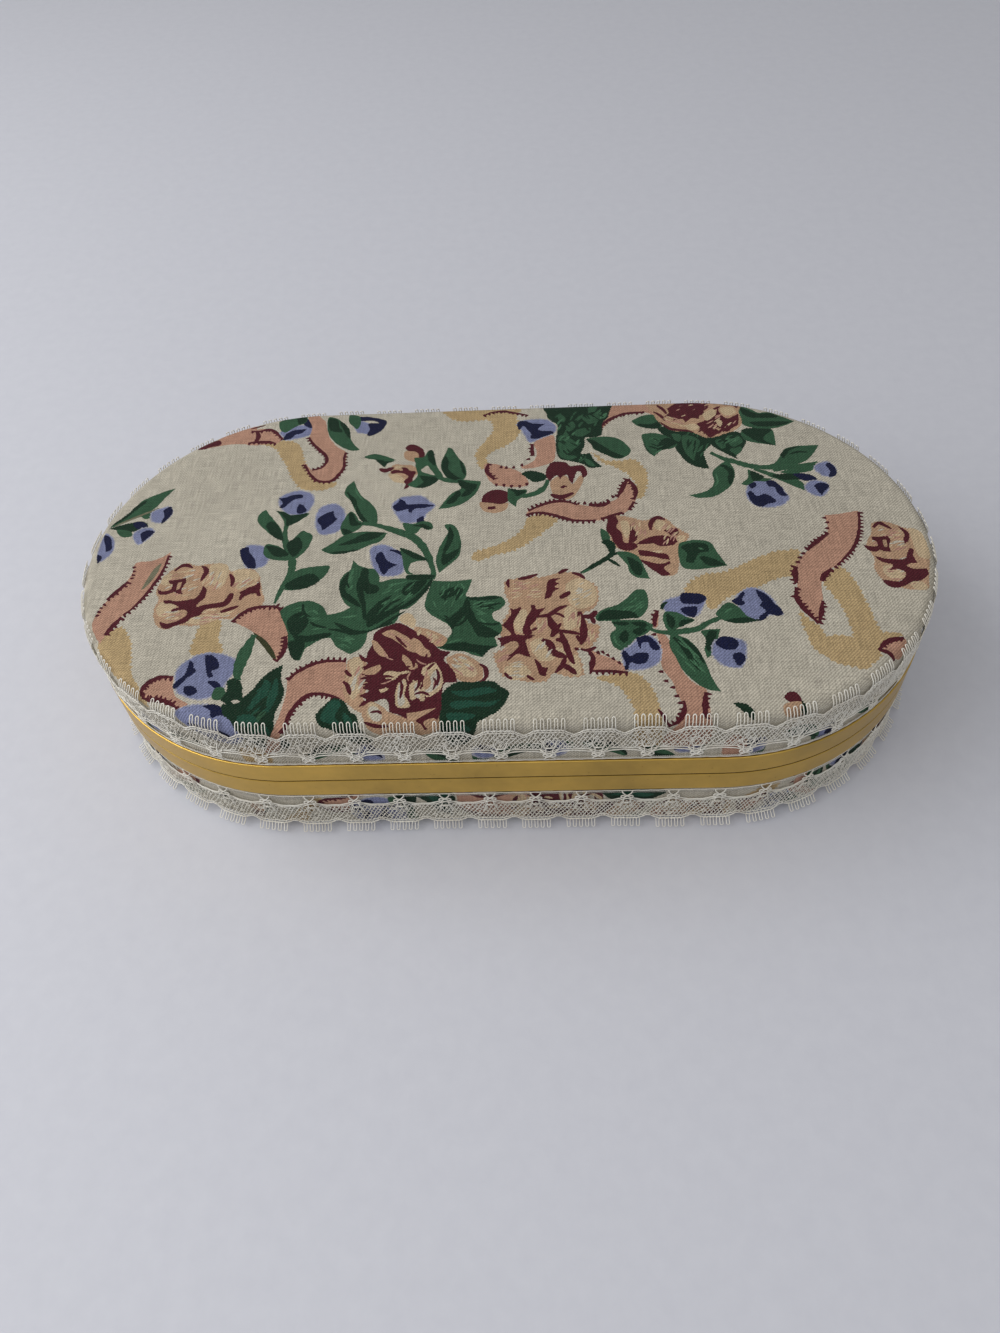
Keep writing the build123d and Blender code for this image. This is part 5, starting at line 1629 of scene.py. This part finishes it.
def lace_cords(repeat, valley, _seed):
    """The heavy threads of one repeat, all alike. Its post is at 0 and the next post at repeat."""
    t = Threads()
    low = 0.34

    def along(height, lift, radius, cuts=20):
        path = []
        for i in range(cuts + 1):
            share = i / cuts
            path.append((share * repeat, height(share), lift + 0.04 * math.sin(7 * share * math.pi)))
        t.tube(path, radius, capped=False)

    def near_post(share, power):
        return abs(2 * share - 1) ** power

    along(lambda s: 0.08, low, 0.14, 12)
    teeth = 22
    path = []
    for i in range(teeth * 2 + 1):
        x = 0.95 + (repeat - 1.9) * i / (teeth * 2)
        rise = 1.1 * near_post(x / repeat, 7)
        path.append((x, (0.35 if i % 2 else 0.9) + rise, low + 0.1))
    t.tube(path, 0.10, sides=3)
    along(lambda s: 3.95 - 1.75 * near_post(s, 2.6), low + 0.18, 0.15, 24)
    along(lambda s: 4.55 - 1.15 * near_post(s, 3.2), low + 0.08, 0.13, 24)
    for lean in (-1, 1):
        t.tube(
            [
                (-lean * 1.25, 0.15, low), (-lean * 1.0, 0.95, low + 0.15), (-lean * 0.45, 1.55, low + 0.3),
                (lean * 0.3, 2.1, low + 0.38), (lean * 0.8, 2.9, low + 0.28), (lean * 0.75, 3.9, low + 0.2),
                (lean * 0.85, 4.9, low + 0.15), (lean * 1.3, 5.9, low + 0.1), (lean * 1.5, 7.0, low),
            ],
            0.16,
        )
        t.tube(ring(lean * 0.95, 2.3, 0.5, 0.48, low + 0.3), 0.15, closed=True)
        prong = [(lean * 0.1, 3.15, low + 0.3), (lean * 1.1, 3.5, low + 0.3), (lean * 2.0, 4.2, low + 0.2)]
        t.tube(prong, 0.13)
    t.tube([(-0.75, 3.35, low + 0.25), (0, 3.1, low + 0.35), (0.75, 3.35, low + 0.25)], 0.16)
    t.tube([(-0.85, 4.95, low + 0.2), (0, 5.1, low + 0.28), (0.85, 4.95, low + 0.2)], 0.15)
    cuts = 32
    for drop, wave, fat in ((0.0, 0.13, 0.105), (0.05, -0.13, 0.105), (0.75, 0.10, 0.11)):
        path = []
        for i in range(cuts + 1):
            x = repeat * i / cuts
            twist = math.sin(math.pi * i / 2)
            path.append(
                (
                    x,
                    crest(x, repeat, valley) - drop + wave * twist,
                    low + 0.2 + 0.06 * math.cos(math.pi * i / 2),
                )
            )
        t.tube(path, fat, capped=False)
    for i in range(12):
        x = repeat * (i + 0.5) / 12
        y = crest(x, repeat, valley)
        t.tube([(x - 0.2, y - 0.75, low + 0.1), (x + 0.2, y, low + 0.2)], 0.09, sides=3)
    pitch = LOOP_PITCH
    wide = LOOP_HALF
    for i in range(LOOPS):
        x = (i - (LOOPS - 1) / 2) * pitch
        foot = crest(x, repeat, valley)
        shoulder = LACE_WIDTH - wide
        path = [(x - wide * 1.15, foot, low + 0.2), (x - wide * 0.95, (foot + shoulder) / 2, low + 0.3)]
        for k in range(7):
            a = math.pi * (1 - k / 6)
            path.append((x + wide * math.cos(a), shoulder + wide * math.sin(a), low + 0.36))
        path += [(x + wide * 0.95, (foot + shoulder) / 2, low + 0.3), (x + wide * 1.15, foot, low + 0.2)]
        t.tube(path, 0.125)
        if i:
            link = [(x - pitch + wide, foot + 0.12, low + 0.25), (x - wide, foot + 0.12, low + 0.25)]
            t.tube(link, 0.12, sides=3)
    return t


def lace_net(repeat, valley, seed):
    """The fine net of one repeat, closer over the post and open beside the valley."""
    t = Threads()
    rnd = random.Random(seed)
    low = 0.34
    columns = 11
    rows = 7
    cell = repeat / columns

    def knot(i, j):
        x = (i + 0.5 * (j % 2)) * cell
        share = j / rows
        y = NET_FOOT + share * (crest(x, repeat, valley) - 0.65 - NET_FOOT)
        own = random.Random(seed * 7919 + (i % columns) * 31 + j)
        return x + own.uniform(-0.12, 0.12), y + own.uniform(-0.1, 0.1), low + own.uniform(0, 0.12)

    for j in range(rows):
        for i in range(columns):
            for step in (0, 1):
                t.tube(
                    [knot(i, j), knot(i + step - (0 if j % 2 else 1), j + 1)], 0.115, sides=3, capped=False
                )
    for x0, y0, wide, tall, count in (
        (0.0, 8.4, 1.9, 2.6, 20),
        (repeat, 8.4, 1.9, 2.6, 20),
        (repeat * 0.72, 6.2, 1.7, 0.9, 8),
        (repeat * 0.3, 5.4, 1.4, 0.6, 5),
    ):
        for _ in range(count):
            a = rnd.uniform(0, 2 * math.pi)
            far = math.sqrt(rnd.uniform(0, 1))
            x = x0 + wide * far * math.cos(a)
            y = y0 + tall * far * math.sin(a)
            if not 0.1 < x < repeat - 0.1 or y > crest(x, repeat, valley) - 0.9:
                continue
            lean = rnd.choice((0.5, -0.5, 1.3)) + rnd.uniform(-0.3, 0.3)
            long = rnd.uniform(0.35, 0.6)
            ends = [
                (x + k * long * math.cos(lean), y + k * long * math.sin(lean), low + 0.12) for k in (-1, 1)
            ]
            t.tube(ends, 0.10, sides=3, capped=False)
    for x, y in ((2.9, 9.4), (repeat - 2.9, 9.4), (repeat / 2, 5.9)):
        t.tube(ring(x, y, 0.55, 0.45, low + 0.14, 7), 0.11, closed=True, sides=3)
    return t


def on_wall(pan, rim_edge, start, stretch):
    """A function from flat lace coordinates to the frame, in millimetres. start is its gap to the rim."""
    folds = pan.way > 0
    total = perimeter()
    side_length = 2 * SPINE

    def place(points):
        s = np.mod(points[:, 0] + SPINE, total)
        lap = np.where(s < total / 2, 0, 1)
        s = s - lap * total / 2
        straight = s < side_length
        angle = np.where(straight, -math.pi / 2, (s - side_length) / COVER_REACH - math.pi / 2)
        centre = np.where(straight, s - SPINE, SPINE)
        sign = np.where(lap == 0, 1.0, -1.0)
        out_x = np.cos(angle) * sign
        out_y = np.sin(angle) * sign
        centre = centre * sign
        slack = BACK_SLACK * (1 + out_y) / 2 if folds else 0.0
        up = points[:, 1] * (stretch - slack) + start
        off = points[:, 2]
        lean = np.zeros_like(up) if folds else np.clip((up - BEND_START) / BEND_RADIUS, 0, None)
        bent = BEND_RADIUS * (1 - np.cos(lean)) + off * np.cos(lean)
        hang = np.where(lean > 0, BEND_START + BEND_RADIUS * np.sin(lean) - off * np.sin(lean), up)
        wall = pan.wall - TUCKED
        turned = np.clip((up - wall) / pan.edge_round, 0, None) if folds else np.zeros_like(up)
        on_turn = turned > 0
        ball = pan.edge_round + off
        reach = np.where(on_turn, pan.flat + ball * np.cos(turned), COVER_REACH + bent)
        climb = np.where(on_turn, wall + ball * np.sin(turned), hang)
        height = rim_edge + pan.way * climb
        return np.stack([centre + out_x * reach, out_y * reach, height], 1)

    return place


def lace_mesh(name, make, phase, place, body, valley, flip, jitter):
    """Copies one repeat all round the case, each copy a little uneven."""
    repeat = perimeter() / LACE_REPEATS
    rnd = random.Random(41)
    verts = []
    faces = []
    bends = [rnd.uniform(-1, 1) for _ in range(LACE_REPEATS + 1)]
    bends[-1] = bends[0]
    kinds = [make(repeat, valley, seed) for seed in (1, 2, 3)]
    for i in range(LACE_REPEATS):
        kind = kinds[i % len(kinds)]
        points = np.array([tuple(p) for p in kind.points])
        share = np.clip(points[:, 0] / repeat, 0, 1)
        sway = bends[i] * (1 - share) + bends[i + 1] * share
        points[:, 1] += sway * jitter * np.clip(points[:, 1] / LACE_WIDTH, 0, 1)
        points[:, 0] += 0.12 * jitter * np.sin(points[:, 1] * 0.9 + i * 1.7) + i * repeat + phase
        lift = np.clip((points[:, 1] - 12.0) / 3.0, 0, 1)
        points[:, 2] += lift * lift * rnd.uniform(0.0, 0.3)
        first = len(verts)
        verts.extend(place(points) * MM)
        faces.extend(tuple(first + k for k in (f[::-1] if flip else f)) for f in kind.faces)
    mesh = bpy.data.meshes.new(name)
    mesh.from_pydata([tuple(v) for v in verts], [], faces)
    mesh.shade_smooth()
    mesh.materials.append(MATERIALS["lace"])
    thing = new_object(name, mesh)
    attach(thing, body)
    return thing


def make_lace():
    for half, pan, rim_edge, body, phase, start, stretch, valley in (
        ("lid", LID_PAN, LID_RIM_TOP, "lid", -0.2, 0.35, 1.0, VALLEY),
        ("base", BASE_PAN, BASE_RIM_LOW, "root", 7.1, 1.0, 1.03, BASE_VALLEY),
    ):
        place = on_wall(pan, rim_edge, start, stretch)
        cords = lace_mesh(half + "_lace_cords", lace_cords, phase, place, body, valley, pan.way < 0, 0.3)
        net = lace_mesh(half + "_lace_net", lace_net, phase, place, body, valley, pan.way < 0, 0.3)
        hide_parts(half + "_lace")


finish_nodes()
make_covers()
make_lace()


# Lining
PLEAT = 3.3  # pitch of the gathers


def make_gathered_wall(half, body, mouth, leg_end, floor):
    """A gathered satin strip. It is flat in the rim's channel, from mouth to leg_end, and full below."""
    outer = box_mm(half + "_lining_wall")[1].y - 0.1
    rnd = random.Random(half)
    count = round((4 * SPINE + 2 * math.pi * outer) / PLEAT)
    deep = [rnd.uniform(0.65, 1.0) for _ in range(count)]
    shift = [rnd.uniform(-0.5, 0.5) for _ in range(count)]
    cuts = 8
    around = stations(outer, count * cuts)
    rows = 14
    verts = []
    for j in range(rows + 1):
        share = j / rows
        z = mouth + (floor - mouth) * share
        open_share = max(0.0, (z - leg_end) / (floor - leg_end))
        swell = min(1.0, open_share * 2.2) * (1.0 - 0.25 * open_share)
        for i, (x, y, out_x, out_y) in enumerate(around):
            k = i // cuts
            phase = (i % cuts) / cuts
            sway = 0.25 * shift[k] * math.sin(math.pi * phase) * open_share
            fold = 0.5 - 0.5 * math.cos(2 * math.pi * (phase + sway))
            depth = deep[k] * fold**0.8 + 0.12 * math.sin(5 * open_share + 1.7 * k)
            inward = swell * depth * 0.95
            verts.append(((x - out_x * inward) * MM, (y - out_y * inward) * MM, z * MM))
    ring_size = len(around)
    faces = []
    for j in range(rows):
        for i in range(ring_size):
            m = (i + 1) % ring_size
            faces.append(
                (j * ring_size + i, j * ring_size + m, (j + 1) * ring_size + m, (j + 1) * ring_size + i)
            )
    mesh = bpy.data.meshes.new(half + "_gathered_wall")
    mesh.from_pydata(verts, [], faces)
    mesh.shade_smooth()
    mesh.materials.append(MATERIALS["satin"])
    wall = new_object(half + "_gathered_wall", mesh)
    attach(wall, body)
    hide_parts(half + "_lining_wall")


def stations(reach, count):
    """count even steps round the stadium at one reach, each a place and the way out."""
    total = 4 * SPINE + 2 * math.pi * reach
    places = []
    for i in range(count):
        s = total * i / count
        sign = 1 if s < total / 2 else -1
        s %= total / 2
        if s < 2 * SPINE:
            places.append((sign * (s - SPINE), -sign * reach, 0.0, -sign))
        else:
            angle = (s - 2 * SPINE) / reach - math.pi / 2
            out = (sign * math.cos(angle), sign * math.sin(angle))
            places.append((sign * SPINE + reach * out[0], reach * out[1], *out))
    return places


def make_pad(half, body, way):
    """A satin-covered pad with a crown and a soft edge, puckered where the satin is drawn under it."""
    low, high = box_mm(half + "_lining_pad")
    thick = high.z - low.z
    crown = 1.0
    crest = high.z - crown if way > 0 else low.z + crown
    pan = Pan(way, high.y - 0.15, crest, 1.5, crown, thick - crown - 1.5)
    rings = [*turn_rings(pan, (0, 0.33, 0.66, 1)), pan.flat - 1.5, pan.flat - 3.5, pan.flat - 6.0]
    pad = cloth_skin(half + "_satin_pad", pan, [], 0, rings, 3.0, 0.22, "satin")
    for v in pad.data.vertices:
        x, y = v.co.x / MM, v.co.y / MM
        centre = min(max(x, -SPINE), SPINE)
        reach = math.hypot(x - centre, y)
        along = centre + reach * math.atan2(y, x - centre) if abs(x) > SPINE else x
        edge = math.exp(-(((reach - pan.flat + 2.0) / 2.4) ** 2))
        v.co.z += way * MM * 0.16 * edge * math.sin(along * 1.9 + 1.3 * math.sin(along * 0.37))
    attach(pad, body)
    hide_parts(half + "_lining_pad")


def make_bottom_panel():
    low, high = box_mm("base_bottom_panel")
    edge_round = 0.3
    clear = 0.05  # of the table
    pan = Pan(-1, high.y, low.z + clear, edge_round, 0.0, high.z - low.z - clear - edge_round)
    panel = cloth_skin("bottom_panel_cloth", pan, [], 0, turn_rings(pan, (0, 0.5, 1)), 10.0, 0, "plain")
    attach(panel, "root")
    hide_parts("base_bottom_panel")


RIM_LEG = 4.6  # height of a rim's inner leg
base_mouth = box_mm("base_lining_wall")[1].z
lid_mouth = box_mm("lid_lining_wall")[0].z
make_gathered_wall(
    "base", "root", base_mouth, box_mm("base_rim")[1].z - RIM_LEG, box_mm("base_lining_board")[1].z
)
make_gathered_wall(
    "lid", "lid", lid_mouth, box_mm("lid_rim")[0].z + RIM_LEG, box_mm("lid_lining_board")[0].z
)
make_pad("base", "root", 1)
make_pad("lid", "lid", -1)
make_bottom_panel()


# Stage and light
def make_stage():
    n = Nodes("table")
    where = n.add("TexCoord").outputs["Object"]
    speckle = n.noise(where, 220.0, 3.0, 0.6)
    n.set(
        Base_Color=n.mix(speckle, rgba((0.745, 0.75, 0.78)), rgba((0.78, 0.785, 0.81))),
        Roughness=0.6,
    )
    half = 1.5
    corners = [(-half, -half, 0), (half, -half, 0), (half, half, 0), (-half, half, 0)]
    mesh = bpy.data.meshes.new("table")
    mesh.from_pydata(corners, [], [(0, 1, 2, 3)])
    mesh.materials.append(n.material)
    table = new_object("table", mesh)


def lamp(name, place, aim, size, power, colour):
    data = bpy.data.lights.new(name, "AREA")
    data.shape = "RECTANGLE"
    data.size, data.size_y = size
    data.energy = power
    data.color = colour
    thing = bpy.data.objects.new(name, data)
    thing.location = place
    thing.rotation_euler = (Vector(aim) - Vector(place)).to_track_quat("-Z", "Y").to_euler()
    bpy.context.scene.collection.objects.link(thing)


make_stage()
lamp("window", (-0.66, -0.05, 0.52), (0, 0, 0), (1.0, 0.8), 6.1, (0.99, 0.99, 1.0))
lamp("room", (0.05, -0.75, 1.15), (0, 0, 0), (1.5, 1.0), 4.1, (0.98, 0.98, 1.0))
SKY = (0.82, 0.82, 0.83, 1)
SKY_STRENGTH = 0.50
world = bpy.data.worlds.new("world")
world.use_nodes = True
world.node_tree.nodes["Background"].inputs["Color"].default_value = SKY
world.node_tree.nodes["Background"].inputs["Strength"].default_value = SKY_STRENGTH
bpy.context.scene.world = world
